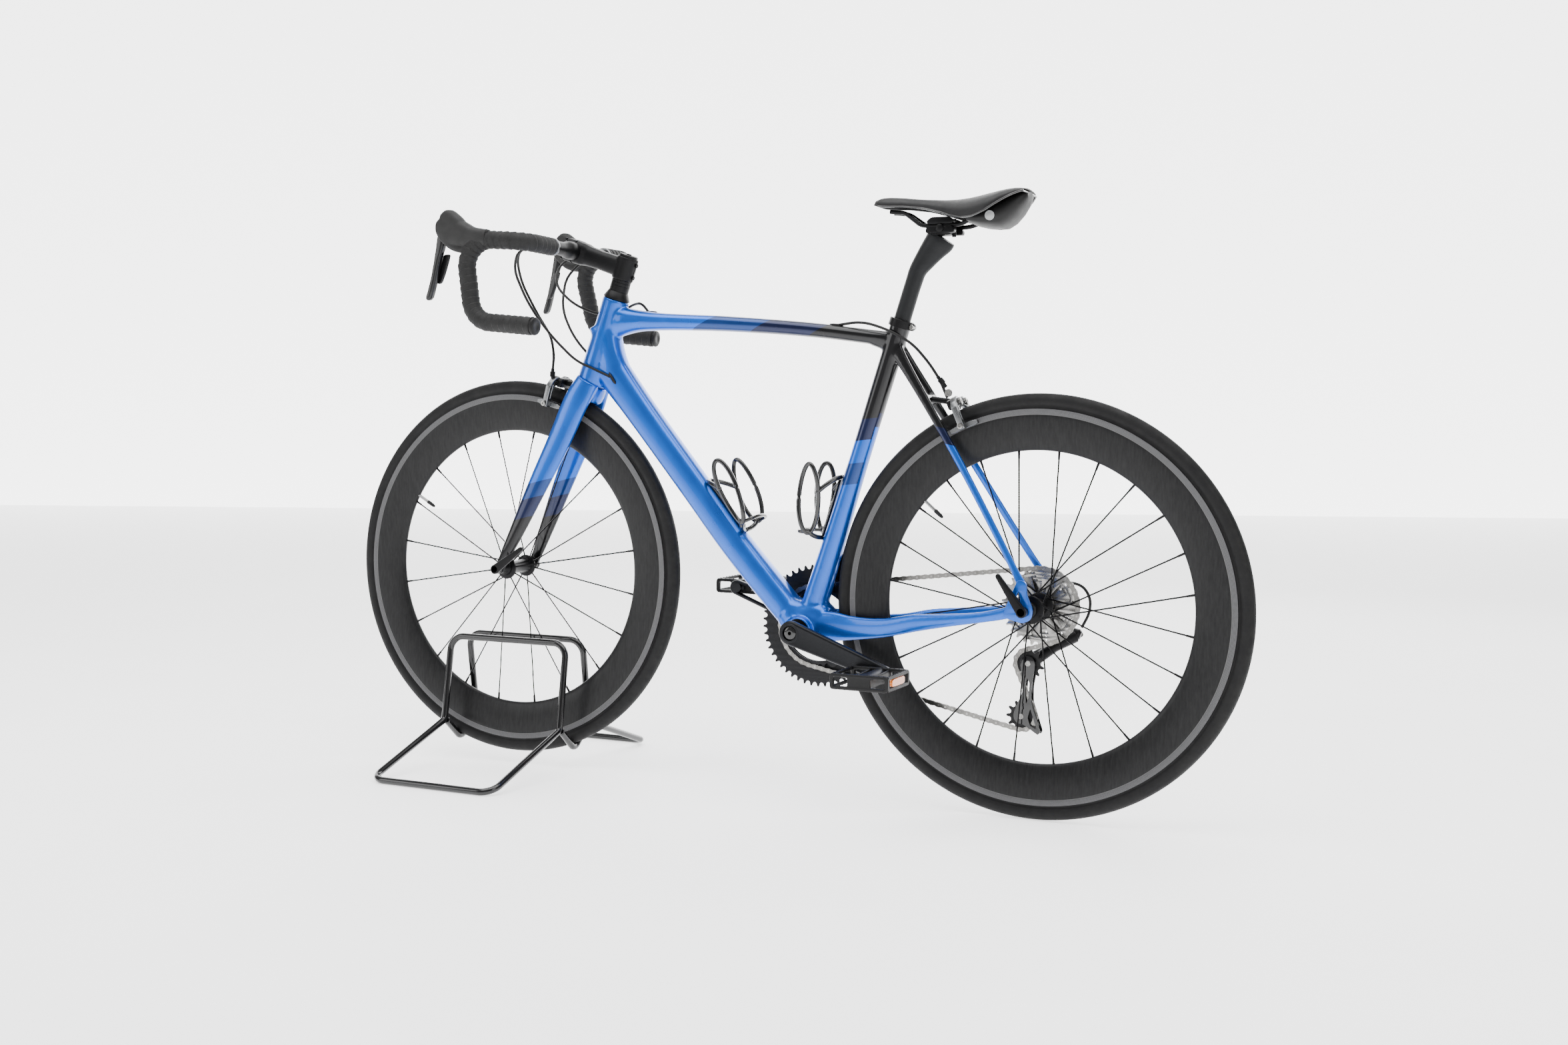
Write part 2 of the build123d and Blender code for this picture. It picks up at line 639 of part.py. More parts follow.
# ---------------------------------------------------------------- frame tubes
head_plane = Plane(origin=on_head(0), x_dir=(0, 1, 0), z_dir=HEAD_UP)
with BuildPart() as head_tube:
    with BuildSketch(head_plane):
        Circle(HEAD_TUBE_BOTTOM_R)
    with BuildSketch(head_plane.offset(HEAD_TUBE_LENGTH)):
        Circle(HEAD_TUBE_TOP_R)
    loft()
    head_outer = head_tube.part
    add(tube(on_head(-5), on_head(HEAD_TUBE_LENGTH + 5), STEERER_R + FIT), mode=Mode.SUBTRACT)
finish(head_tube, "head_tube")

post_axis_top = on_seat(SEAT_TUBE_TOP_Z)
seat_outer = oval_tube([
    (BB_X, 0, BB_Z, 52, 44),
    (*on_seat(400), 44, 38),
    (*on_seat(560), 36, 31),
    (*post_axis_top, 33, 33),
])
shell_outer = ring_y(BB_X, BB_Z, -BB_SHELL_HALF, BB_SHELL_HALF, BB_SHELL_R)
with BuildPart() as seat_tube:
    add(seat_outer)
    add(tube(post_axis_top - SEAT_UP * POST_BORE_DEPTH, post_axis_top + SEAT_UP * 10,
             POST_R + FIT), mode=Mode.SUBTRACT)
    add(tube(BB, post_axis_top - SEAT_UP * POST_BORE_DEPTH, POST_R), mode=Mode.SUBTRACT)
    add(shell_outer, mode=Mode.SUBTRACT)
finish(seat_tube, "seat_tube")

TUBE_WALL = 2.5


def hollow_tube(stations):
    """Smooth tube open at both ends."""
    bore = [(x, y, z, w - 2 * TUBE_WALL, d - 2 * TUBE_WALL) for x, y, z, w, d in stations]
    skin = oval_tube(stations)
    core = oval_tube(bore)
    with BuildPart() as body:
        add(skin)
        add(core, mode=Mode.SUBTRACT)
    return body.part


with BuildPart() as top_tube:
    add(hollow_tube([
        (-262, 0, 797, 42, 46),
        (-205, 0, 795, 38, 32),
        (-60, 0, 789, 34, 26),
        (100, 0, 776, 32, 24),
        (250, 0, 757, 30, 24),
    ]))
    add(head_outer, mode=Mode.SUBTRACT)
    add(seat_outer, mode=Mode.SUBTRACT)
    keep = top_tube.solids().sort_by(SortBy.VOLUME)[-1]
top_tube.part = Part(keep.wrapped)
finish(top_tube, "top_tube")

with BuildPart() as down_tube:
    add(hollow_tube([
        (-296, 0, 724, 46, 56),
        (-215, 0, 627, 46, 53),
        (-40, 0, 416, 48, 52),
        (BB_X - 6, 0, BB_Z + 2, 60, 50),
    ]))
    add(head_outer, mode=Mode.SUBTRACT)
    add(shell_outer, mode=Mode.SUBTRACT)
    add(seat_outer, mode=Mode.SUBTRACT)
    keep = down_tube.solids().sort_by(SortBy.VOLUME)[-1]
down_tube.part = Part(keep.wrapped)
finish(down_tube, "down_tube")

with BuildPart() as bottom_bracket_shell:
    add(shell_outer)
    add(ring_y(BB_X, BB_Z, -60, 60, BB_BORE_R), mode=Mode.SUBTRACT)
finish(bottom_bracket_shell, "bottom_bracket_shell")

cups = []
for side in (LEFT, RIGHT):
    low, high = sorted((side * (BB_SHELL_HALF - 12), side * BB_SHELL_HALF))
    cups.append(ring_y(BB_X, BB_Z, low, high, BB_BORE_R, SPINDLE_R + FIT))
with BuildPart() as bottom_bracket_cups:
    add(cups)
finish(bottom_bracket_cups, "bottom_bracket_cups")


def chainstay(side):
    return oval_tube([
        (118, side * 22, 283, 18, 44),
        (185, side * 28.5, 288, 15, 38),
        (245, side * 38, 294, 15, 32),
        (302, side * 46.5, 306, 14, 30),
        (357, side * 54, 314, 13, 21),
        (411, side * 60, 322, 12, 18),
        (458, side * 64.5, 333, 10, 22),
    ])


def seatstay(side):
    return oval_tube([
        (254, side * 12, 734, 12, 20),
        (309, side * 23, 652, 11, 15),
        (375, side * 35, 549, 11, 13),
        (436, side * 51, 450, 11, 13),
        (481, side * 64.5, 377, 10, 13),
    ])


half_rear = REAR_HUB_WIDTH / 2
dropouts = []
for side in (LEFT, RIGHT):
    low, high = sorted((side * half_rear, side * (half_rear + DROPOUT_T)))
    plate = [(452, 326), (458, 345), (470, 372), (476, 386), (489, 382), (490, 362), (500, 340),
             (497, 324), (484, 318)]
    if side == RIGHT:
        plate = plate[:-2] + [(500, 304), (490, 294), (482, 302), (476, 318)]
    dropouts.append(slab_y(plate, low, high))
rear_axle_bore = ring_y(REAR_AXLE.X, REAR_AXLE.Z, -80, 80, SKEWER_R + FIT)
with BuildPart() as chainstays:
    add([chainstay(LEFT), chainstay(RIGHT)])
    add(shell_outer, mode=Mode.SUBTRACT)
    add(seat_outer, mode=Mode.SUBTRACT)
    add(down_tube.part, mode=Mode.SUBTRACT)
    add(dropouts)
    add(rear_axle_bore, mode=Mode.SUBTRACT)
finish(chainstays, "chainstays")

with BuildPart() as seatstays:
    add([seatstay(LEFT), seatstay(RIGHT)])
    add(tube(REAR_BRIDGE - SIDE * 22, REAR_BRIDGE + SIDE * 22, 7))
    add(seat_outer, mode=Mode.SUBTRACT)
    add(chainstays.part, mode=Mode.SUBTRACT)
finish(seatstays, "seatstays")

clamp_foot = post_axis_top - SEAT_UP * 11
with BuildPart() as seat_clamp:
    add(tube(clamp_foot, post_axis_top + SEAT_UP * 2, 20))
    ear = clamp_foot + SEAT_UP * 6.5 + SEAT_UP.cross(SIDE) * -20
    add(tube(ear - SIDE * 8, ear + SIDE * 8, 4))
    add(seat_outer, mode=Mode.SUBTRACT)
    add(tube(clamp_foot - SEAT_UP * 10, clamp_foot + SEAT_UP * 40, POST_R + FIT),
        mode=Mode.SUBTRACT)
finish(seat_clamp, "seat_clamp")

# ---------------------------------------------------------------- bottle cages
CAGE_INNER_R = 37.0
CAGE_WALL = 2.2
CAGE_HEIGHT = 118.0


def bottle_cage(foot, along, away, boss_depth):
    """Cup with a ledge at its foot, a tall back at the tube and two large side windows."""
    centre = foot + away * (CAGE_INNER_R + CAGE_WALL + 1.5)
    plane = Plane(origin=centre, x_dir=(0, 1, 0), z_dir=along)
    outer = CAGE_INNER_R + CAGE_WALL
    boss = foot + along * 62
    with BuildPart() as cage:
        with BuildSketch(plane):
            Circle(outer)
        extrude(amount=CAGE_HEIGHT)
        with BuildSketch(plane.offset(3)):
            Circle(CAGE_INNER_R)
        extrude(amount=CAGE_HEIGHT, mode=Mode.SUBTRACT)
        with BuildSketch(Plane(origin=centre + along * 50, x_dir=(0, 1, 0), z_dir=away)):
            with Locations((0, 24)):
                SlotOverall(70, 62)
        extrude(amount=60, mode=Mode.SUBTRACT)
        with BuildSketch(Plane(origin=centre + along * 44, x_dir=along, z_dir=SIDE)):
            RectangleRounded(62, 44, 20)
        extrude(amount=60, both=True, mode=Mode.SUBTRACT)
        add(tube(boss - away * boss_depth, boss + away * 2.5, 5))
        low_boss = foot + along * 12
        add(tube(low_boss - away * boss_depth, low_boss + away * 2.5, 5))
    return cage.part


down_start = Vector(-40, 0, 416)
down_along = (Vector(-215, 0, 627) - down_start).normalized()
down_away = SIDE.cross(down_along)
seat_away = SIDE.cross(SEAT_UP) * -1
cage_a = bottle_cage(down_start + down_along * 6 + down_away * 26.6, down_along, down_away, 0.2)
cage_b = bottle_cage(on_seat(424) + seat_away * 19.2, SEAT_UP, seat_away, 5)
with BuildPart() as bottle_cages:
    add([cage_a, cage_b])
    add(seat_outer, mode=Mode.SUBTRACT)
finish(bottle_cages, "bottle_cages")

# ---------------------------------------------------------------- crank and pedals
RIGHT_HEADING = Vector(-cos(radians(CRANK_TILT)), 0, sin(radians(CRANK_TILT)))
right_eye = BB + RIGHT_HEADING * CRANK_LENGTH
left_eye = BB - RIGHT_HEADING * CRANK_LENGTH
RING_BOLT_R = 55.0
ARM_OUT = CRANK_ARM_Y + CRANK_ARM_T
PEDAL_PIN_R = 4.5

with BuildPart() as crank_arm_left:
    add(link_y((BB.X, BB.Z), (left_eye.X, left_eye.Z), 20, 13, -ARM_OUT, -CRANK_ARM_Y))
    add(ring_y(BB.X, BB.Z, -CRANK_ARM_Y - 9, -CRANK_ARM_Y + 1, SPINDLE_R), mode=Mode.SUBTRACT)
    add(ring_y(left_eye.X, left_eye.Z, -ARM_OUT - 1, -CRANK_ARM_Y + 1, PEDAL_PIN_R + FIT),
        mode=Mode.SUBTRACT)
finish(crank_arm_left, "crank_arm_left")

SPIDER_LOW = SMALL_RING_Y + TOOTH_T / 2
SPIDER_HIGH = BIG_RING_Y - TOOTH_T / 2
spider_arms = []
for i in range(4):
    reach = RIGHT_HEADING.rotate(Axis.Y, 45 + 90 * i) * (RING_BOLT_R + 2)
    spider_arms.append(link_y((BB.X, BB.Z), (BB.X + reach.X, BB.Z + reach.Z), 16, 6.5,
                              SPIDER_LOW + 0.02, SPIDER_HIGH - 0.02))
with BuildPart() as crank_arm_right:
    add(link_y((BB.X, BB.Z), (right_eye.X, right_eye.Z), 20, 13, CRANK_ARM_Y, ARM_OUT))
    add(ring_y(BB.X, BB.Z, BB_SHELL_HALF + GAP, CRANK_ARM_Y + 1, 19))
    add(spider_arms)
    add(ring_y(BB.X, BB.Z, 0, BB_SHELL_HALF + GAP, BB_SHELL_R + 3), mode=Mode.SUBTRACT)
    add(ring_y(BB.X, BB.Z, -CRANK_ARM_Y - 8.9, CRANK_ARM_Y + 4, SPINDLE_R))
    add(ring_y(right_eye.X, right_eye.Z, CRANK_ARM_Y - 1, ARM_OUT + 1, PEDAL_PIN_R + FIT),
        mode=Mode.SUBTRACT)
finish(crank_arm_right, "crank_arm_right")

ring_bolts = []
for i in range(4):
    reach = RIGHT_HEADING.rotate(Axis.Y, 45 + 90 * i) * RING_BOLT_R
    ring_bolts.append(ring_y(BB.X + reach.X, BB.Z + reach.Z, BIG_RING_Y + TOOTH_T / 2,
                             BIG_RING_Y + TOOTH_T / 2 + 1.5, 5))
with BuildPart() as chainrings:
    add(toothed_disc(BB.X, BB.Z, BIG_RING_Y, BIG_TEETH, RING_BOLT_R - 8))
    add(toothed_disc(BB.X, BB.Z, SMALL_RING_Y, SMALL_TEETH, RING_BOLT_R - 8))
    add(ring_bolts)
finish(chainrings, "chainrings")

for side, hand, eye in ((LEFT, "left", left_eye), (RIGHT, "right", right_eye)):
    inner, outer = side * PEDAL_Y, side * (PEDAL_Y + PEDAL_LENGTH)
    low, high = sorted((inner, outer))
    pin_low, pin_high = sorted((side * (CRANK_ARM_Y + 1), side * (PEDAL_Y + 10)))
    middle_y = (low + high) / 2
    with BuildPart() as pedal:
        with BuildSketch(Plane(origin=(eye.X, middle_y, eye.Z - 13))):
            RectangleRounded(98, PEDAL_LENGTH, 9)
            with Locations((-29, 0), (29, 0)):
                Rectangle(26, PEDAL_LENGTH - 28, mode=Mode.SUBTRACT)
        extrude(amount=26)
        add(ring_y(eye.X, eye.Z, pin_low, pin_high, PEDAL_PIN_R))
    finish(pedal, f"pedal_{hand}")

# ---------------------------------------------------------------- chain
PLATE_H = 8.2
PLATE_GAP = 1.2
PLATE_T = 1.2


def chain_arc(centre, radius, y, start_angle, arc, bands):
    """Side plates of the chain round a toothed wheel."""
    pieces = []
    for offset in bands:
        with BuildPart() as band:
            origin = (centre[0], y + offset + PLATE_T, centre[1])
            with BuildSketch(Plane(origin=origin, x_dir=(1, 0, 0), z_dir=(0, -1, 0))):
                with BuildLine():
                    outer = CenterArc((0, 0), radius + PLATE_H / 2, start_angle, arc)
                    inner = CenterArc((0, 0), radius - PLATE_H / 2, start_angle, arc)
                    Line(outer @ 0, inner @ 0)
                    Line(outer @ 1, inner @ 1)
                make_face()
            extrude(amount=PLATE_T)
        pieces.append(band.part)
    return pieces


BANDS = (PLATE_GAP, -PLATE_GAP - PLATE_T)


def chain_run(start, end, clear_start, clear_end):
    """Straight stretch: two side plates, and the rollers' solid core clear of the teeth."""
    heading = (end - start).normalized()
    length = (end - start).length
    pieces = []
    frame = Plane(origin=start, x_dir=SIDE - heading * SIDE.dot(heading), z_dir=heading)
    for offset in BANDS:
        with BuildPart() as plate:
            with BuildSketch(frame):
                with Locations((offset + PLATE_T / 2, 0)):
                    Rectangle(PLATE_T, PLATE_H)
            extrude(amount=length)
        pieces.append(plate.part)
    if length > clear_start + clear_end + 2:
        with BuildPart() as core:
            with BuildSketch(frame.offset(clear_start)):
                Rectangle(2 * PLATE_GAP + 0.2, 0.7 * PLATE_H)
            extrude(amount=length - clear_start - clear_end)
        pieces.append(core.part)
    return pieces


def tangent(c1, r1, c2, r2, kind):
    """Angles (degrees) at which a line touches two circles; kind +1 outer above, -1 outer below,
    +2 and -2 for a line that crosses between them."""
    dx, dz = c2[0] - c1[0], c2[1] - c1[1]
    base = degrees(atan2(dz, dx))
    side = 1 if kind > 0 else -1
    if abs(kind) == 1:
        turn = degrees(acos((r1 - r2) / hypot(dx, dz)))
        return base + side * turn, base + side * turn
    turn = degrees(acos((r1 + r2) / hypot(dx, dz)))
    return base + side * turn, base + side * turn + 180


def on_circle(centre, radius, angle, y):
    return Vector(centre[0] + radius * cos(radians(angle)), y,
                  centre[1] + radius * sin(radians(angle)))


ring_c, ring_r = (BB_X, BB_Z), pitch_radius(SMALL_TEETH)
cog_c, cog_r = (REAR_AXLE.X, REAR_AXLE.Z), pitch_radius(COG_TEETH[0])
pulley_r = pitch_radius(PULLEY_TEETH)
cog_y = FIRST_COG_Y
upper_ring, upper_cog = tangent(ring_c, ring_r, cog_c, cog_r, 1)
cog_leave, guide_enter = tangent(cog_c, cog_r, GUIDE_PULLEY, pulley_r, 2)
guide_leave, tension_enter = tangent(GUIDE_PULLEY, pulley_r, TENSION_PULLEY, pulley_r, -2)
lower_ring, lower_tension = tangent(ring_c, ring_r, TENSION_PULLEY, pulley_r, -1)
wraps = [
    (ring_c, ring_r, SMALL_RING_Y, upper_ring, 360 + lower_ring - upper_ring),
    (cog_c, cog_r, cog_y, cog_leave, upper_cog - cog_leave),
    (GUIDE_PULLEY, pulley_r, cog_y, guide_enter, 360 + guide_leave - guide_enter),
    (TENSION_PULLEY, pulley_r, cog_y, lower_tension, tension_enter - lower_tension),
]
runs = [
    (ring_c, ring_r, upper_ring, SMALL_RING_Y, cog_c, cog_r, upper_cog, cog_y, 26, 26),
    (cog_c, cog_r, cog_leave, cog_y, GUIDE_PULLEY, pulley_r, guide_enter, cog_y, 28, 18),
    (GUIDE_PULLEY, pulley_r, guide_leave, cog_y, TENSION_PULLEY, pulley_r, tension_enter, cog_y,
     18, 18),
    (TENSION_PULLEY, pulley_r, lower_tension, cog_y, ring_c, ring_r, lower_ring, SMALL_RING_Y,
     16, 26),
]
LEAD = 36.0


def chain_between(start, end, clear_start, clear_end):
    """Run with a level lead at each end, so that it leaves each wheel in that wheel's plane."""
    if abs(start.Y - end.Y) < 1:
        return chain_run(start, end, clear_start, clear_end)
    flat = Vector(end.X - start.X, 0, end.Z - start.Z).normalized()
    first = start + flat * LEAD
    last = end - flat * LEAD
    pieces = chain_run(start, first + flat * 0.2, LEAD - 4, 0)
    pieces += chain_run(first, last, 0, 0)
    pieces += chain_run(last - flat * 0.2, end, 0, LEAD - 4)
    return pieces


chain_pieces = []
for centre, radius, y, start_angle, arc in wraps:
    chain_pieces += chain_arc(centre, radius, y, start_angle, arc, BANDS)
for c1, r1, a1, y1, c2, r2, a2, y2, clear_1, clear_2 in runs:
    start, end = on_circle(c1, r1, a1, y1), on_circle(c2, r2, a2, y2)
    chain_pieces += chain_between(start, end, clear_1, clear_2)
with BuildPart() as chain:
    add(chain_pieces)
finish(chain, "chain")

# ---------------------------------------------------------------- derailleurs and pulleys
PULLEY_PIN_R = 3.0
for centre, label in ((GUIDE_PULLEY, "guide_pulley"), (TENSION_PULLEY, "tension_pulley")):
    with BuildPart() as pulley:
        add(toothed_disc(*centre, cog_y, PULLEY_TEETH, PULLEY_PIN_R + FIT))
    finish(pulley, label)

CAGE_PLATE_Y = 5.2
CAGE_PLATE_T = 1.4
KNUCKLE = (490.0, 302.0)
with BuildPart() as rear_derailleur:
    outer_y = cog_y + CAGE_PLATE_Y
    inner_y = cog_y - CAGE_PLATE_Y
    add(link_y(GUIDE_PULLEY, TENSION_PULLEY, 13, 12, outer_y, outer_y + CAGE_PLATE_T))
    add(link_y(GUIDE_PULLEY, TENSION_PULLEY, 12, 11, inner_y - CAGE_PLATE_T, inner_y))
    add(ring_y(*GUIDE_PULLEY, inner_y - 1, outer_y + 1, PULLEY_PIN_R))
    add(ring_y(*TENSION_PULLEY, inner_y - 1, outer_y + 1, PULLEY_PIN_R))
    add(ring_y(*GUIDE_PULLEY, outer_y + 1, outer_y + 26, 13))
    link_foot = Vector(GUIDE_PULLEY[0] + 2, outer_y + 18, GUIDE_PULLEY[1] + 4)
    link_elbow = Vector(KNUCKLE[0] + 38, 83, KNUCKLE[1] - 14)
    add(tube(link_foot, link_elbow, 7.5))
    add(tube(Vector(KNUCKLE[0], 83, KNUCKLE[1]), link_elbow, 8))
    with Locations(link_elbow):
        Sphere(11)
    add(ring_y(*KNUCKLE, half_rear + DROPOUT_T + 0.02, 92, 11))
finish(rear_derailleur, "rear_derailleur")


def cage_arc(inner, outer, start_angle, arc, y_low, y_high):
    """Curved plate about the bottom bracket's axis."""
    with BuildPart() as plate:
        with BuildSketch(Plane(origin=(BB_X, y_high, BB_Z), x_dir=(1, 0, 0), z_dir=(0, -1, 0))):
            with BuildLine():
                far = CenterArc((0, 0), outer, start_angle, arc)
                near = CenterArc((0, 0), inner, start_angle, arc)
                Line(far @ 0, near @ 0)
                Line(far @ 1, near @ 1)
            make_face()
        extrude(amount=y_high - y_low)
    return plate.part


big_tip = pitch_radius(BIG_TEETH) + 3
FD_LOW, FD_HIGH = 31.0, 45.6
with BuildPart() as front_derailleur:
    add(cage_arc(big_tip + 3, big_tip + 30, 54, 30, FD_HIGH - 1.4, FD_HIGH))
    add(cage_arc(90, big_tip + 30, 54, 30, FD_LOW, FD_LOW + 1.4))
    add(cage_arc(big_tip + 28, big_tip + 30, 54, 30, FD_LOW, FD_HIGH))
    add(slab_y([(124, 394), (150, 404), (146, 424), (120, 414)], 6, FD_LOW + 0.5))
    add(seat_outer, mode=Mode.SUBTRACT)
    keep = front_derailleur.solids().sort_by(SortBy.VOLUME)[-1]
front_derailleur.part = Part(keep.wrapped)
finish(front_derailleur, "front_derailleur")

# ---------------------------------------------------------------- seatpost and saddle
RAIL_R = 3.5
RAIL_Y = 22.0
RAIL_Z = 936.0
CLAMP_X = 326.0
post_foot = post_axis_top - SEAT_UP * (POST_BORE_DEPTH - 62)
post_head = on_seat(POST_TOP_Z)
head_plane_low = Plane(origin=post_head, x_dir=(0, 1, 0), z_dir=SEAT_UP)
head_plane_high = Plane(origin=(CLAMP_X - 4, 0, RAIL_Z - 14), x_dir=(0, 1, 0), z_dir=(0.35, 0, 1))
with BuildPart() as seatpost:
    add(tube(post_foot, post_head, POST_R))
    with BuildSketch(head_plane_low):
        Circle(POST_R)
    with BuildSketch(Plane(origin=(299, 0, 889), x_dir=(0, 1, 0), z_dir=(0.62, 0, 1))):
        Ellipse(13, 12)
    with BuildSketch(head_plane_high):
        RectangleRounded(30, 40, 9)
    loft()
finish(seatpost, "seatpost")

with BuildPart() as saddle_clamp:
    with BuildSketch(Plane.XY.offset(RAIL_Z - 13)):
        with Locations((CLAMP_X, 0)):
            RectangleRounded(42, 2 * RAIL_Y + 12, 6)
    extrude(amount=26)
    add(seatpost.part, mode=Mode.SUBTRACT)
    for side in (LEFT, RIGHT):
        add(tube(Vector(280, side * RAIL_Y, RAIL_Z), Vector(370, side * RAIL_Y, RAIL_Z), RAIL_R),
            mode=Mode.SUBTRACT)
finish(saddle_clamp, "saddle_clamp")

rails = []
for side in (LEFT, RIGHT):
    route = [(236, side * 9, 962), (262, side * 12, 959), (294, side * RAIL_Y, RAIL_Z),
             (360, side * RAIL_Y, RAIL_Z), (402, side * 36, 953)]
    rails.append(bent_tube(route, [24, 24, 30], RAIL_R))
with BuildPart() as saddle_rails:
    add(rails)
finish(saddle_rails, "saddle_rails")

with BuildPart() as hollow:
    for x, width, top in ((262, 22, 964), (300, 30, 964), (345, 54, 965), (390, 92, 967),
                          (430, 108, 970)):
        with BuildSketch(Plane(origin=(x, 0, 930), x_dir=(0, 1, 0), z_dir=(1, 0, 0))):
            Ellipse(width / 2, top - 930)
    loft()
saddle_hollow = hollow.part
with BuildPart() as saddle:
    for x, width, low, high in ((209, 26, 957, 973), (232, 38, 950, 977), (290, 44, 953, 977),
                                (340, 74, 950, 979), (385, 118, 944, 984), (425, 142, 944, 990),
                                (452, 128, 948, 989), (463, 96, 960, 983)):
        with BuildSketch(Plane(origin=(x, 0, (low + high) / 2), x_dir=(0, 1, 0), z_dir=(1, 0, 0))):
            Ellipse(width / 2, (high - low) / 2)
    loft()
    add(saddle_hollow, mode=Mode.SUBTRACT)
finish(saddle, "saddle")

# ---------------------------------------------------------------- cables
CABLE_R = 2.3
TAPE_FRONT = bar_centre.X - TAPE_R - 2 * GAP


def cable(points, label):
    radii = arc_radii(points)
    with BuildLine() as route:
        FilletPolyline(*points, radius=radii)
    length = route.wires()[0].length
    solid = bent_tube(points, radii, CABLE_R)
    section = 3.14159 * CABLE_R**2
    print(label, "length", round(length, 1), "volume ratio",
          round(solid.volume / (section * length), 4), "radii", [round(r) for r in radii])
    return solid


front_cable = cable([
    (TAPE_FRONT, -88, bar_centre.Z), (-412, -82, 926), (-446, -58, 908), (-450, -36, 866),
    (-424, -26, 812), (-396, -24, 772), (-390, -24, 738), (-392, -25, 714),
], "front brake cable")
with BuildPart() as front_brake_cable:
    add(front_cable)
finish(front_brake_cable, "front_brake_cable")

rear_brake = cable([
    (TAPE_FRONT, 88, bar_centre.Z), (-408, 80, 924), (-432, 56, 904), (-424, 34, 866), (-384, 27, 832),
    (-336, 34, 812), (-290, 38, 814), (-262, 30, 828), (-234, 12, 829), (-214, 3, 811.5),
], "rear brake cable")
shift_left = cable([
    (TAPE_FRONT, -100, bar_centre.Z), (-412, -104, 916), (-434, -84, 884), (-424, -54, 826),
    (-388, -38, 772), (-340, -33, 728), (-302, -29, 712), (-276, -24, 700),
], "front shift cable")
shift_right = cable([
    (TAPE_FRONT, 100, bar_centre.Z), (-412, 104, 916), (-434, 84, 884), (-424, 54, 826),
    (-388, 38, 772), (-340, 33, 728), (-302, 29, 712), (-276, 24, 700),
], "rear shift cable")
with BuildPart() as control_cables:
    add([rear_brake, shift_left, shift_right])
finish(control_cables, "control_cables")

brake_run = cable([
    (140, -2, 783), (189.7, -12, 788), (237.7, -24, 774), (282.3, -26, 750.8), (310.3, -24, 719.5),
    (328, -20, 692), (339, -16, 664),
], "rear brake run")
shift_loop = cable([
    (487, 68, 368), (514, 76, 372), (537, 86, 366), (549, 90, 346), (548, 90, 322), (536, 88, 298),
], "derailleur loop")
brake_run_ends = [top_tube.part, rear_caliper]
shift_loop_ends = [chainstays.part, seatstays.part, rear_derailleur.part]
trimmed_runs = []
for run, ends in ((brake_run, brake_run_ends), (shift_loop, shift_loop_ends)):
    with BuildPart() as trimmed:
        add(run)
        add(ends, mode=Mode.SUBTRACT)
        keep = trimmed.solids().sort_by(SortBy.VOLUME)[-1]
    trimmed_runs.append(keep)
with BuildPart() as frame_cables:
    add(trimmed_runs)
finish(frame_cables, "frame_cables")
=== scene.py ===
import math

import bmesh
import bpy
import numpy as np
from mathutils import Matrix, Vector


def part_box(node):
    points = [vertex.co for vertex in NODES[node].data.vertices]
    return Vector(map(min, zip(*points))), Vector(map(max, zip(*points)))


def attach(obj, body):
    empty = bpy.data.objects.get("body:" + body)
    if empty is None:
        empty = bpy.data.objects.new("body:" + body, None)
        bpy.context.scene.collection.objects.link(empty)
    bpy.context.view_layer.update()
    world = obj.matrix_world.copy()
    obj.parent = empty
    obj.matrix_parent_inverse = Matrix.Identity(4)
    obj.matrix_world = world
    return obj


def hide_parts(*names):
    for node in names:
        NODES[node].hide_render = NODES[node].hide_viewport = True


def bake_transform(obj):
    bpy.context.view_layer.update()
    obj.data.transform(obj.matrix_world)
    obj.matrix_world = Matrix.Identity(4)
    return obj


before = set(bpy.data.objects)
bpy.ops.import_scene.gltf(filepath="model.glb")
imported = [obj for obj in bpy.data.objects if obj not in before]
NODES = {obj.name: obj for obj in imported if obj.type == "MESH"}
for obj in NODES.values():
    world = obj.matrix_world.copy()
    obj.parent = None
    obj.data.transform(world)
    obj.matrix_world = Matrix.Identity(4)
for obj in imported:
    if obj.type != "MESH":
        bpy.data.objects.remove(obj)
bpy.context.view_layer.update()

MM = 0.001

# ------------------------------------------------------------------ places, in millimetres
FRONT_AXLE = np.array([-485.65, 0.0, 358.3])
REAR_AXLE = np.array([485.65, 0.0, 336.0])
BB = np.array([93.0, 0.0, 279.5])
WHEEL_RADIUS = 336
TYRE_SECTION = 12.5
CROWN_HEIGHT = 362
HEAD_TUBE_LENGTH = 156.8
CRANK_LENGTH = 172.5
BRAKE_PIVOT_RADIUS = 347.0
PAD_RADIUS = 306.5
FRONT_BRAKE_ANGLE = 74.3
REAR_BRAKE_ANGLE = 112.4
HOOD_SIDE = 182
CABLE_RADIUS = 2.3
RING_SIDE = 41
COG_SIDE = 22
COG_SPACING = 3.69
HEAD_UP = np.array([math.cos(math.radians(71.5)), 0, math.sin(math.radians(71.5))])
HEAD_FORWARD = np.array([-HEAD_UP[2], 0, HEAD_UP[0]])
HEAD_FOOT = FRONT_AXLE - HEAD_FORWARD * 46
SEAT_UP = np.array([math.cos(math.radians(72.37)), 0, math.sin(math.radians(72.37))])
SIDE = np.array([0.0, 1.0, 0.0])
HANDS = ((-1, "left"), (1, "right"))
BAR = HEAD_FOOT + HEAD_UP * (CROWN_HEIGHT + HEAD_TUBE_LENGTH + 35 + 20) + HEAD_FORWARD * 100
PIVOT = (BAR[0] - 156, BAR[2] + 20)
TILT = math.radians(18.9)
RIGHT_HEADING = np.array([-math.cos(TILT), 0, math.sin(TILT)])
GUIDE = (468.8, 244.2)
TENSION = (458.7, 158.9)
PITCH = 12.7


def on_head(s):
    """Point on the steering axis, s above the crown."""
    return HEAD_FOOT + HEAD_UP * (CROWN_HEIGHT + s)


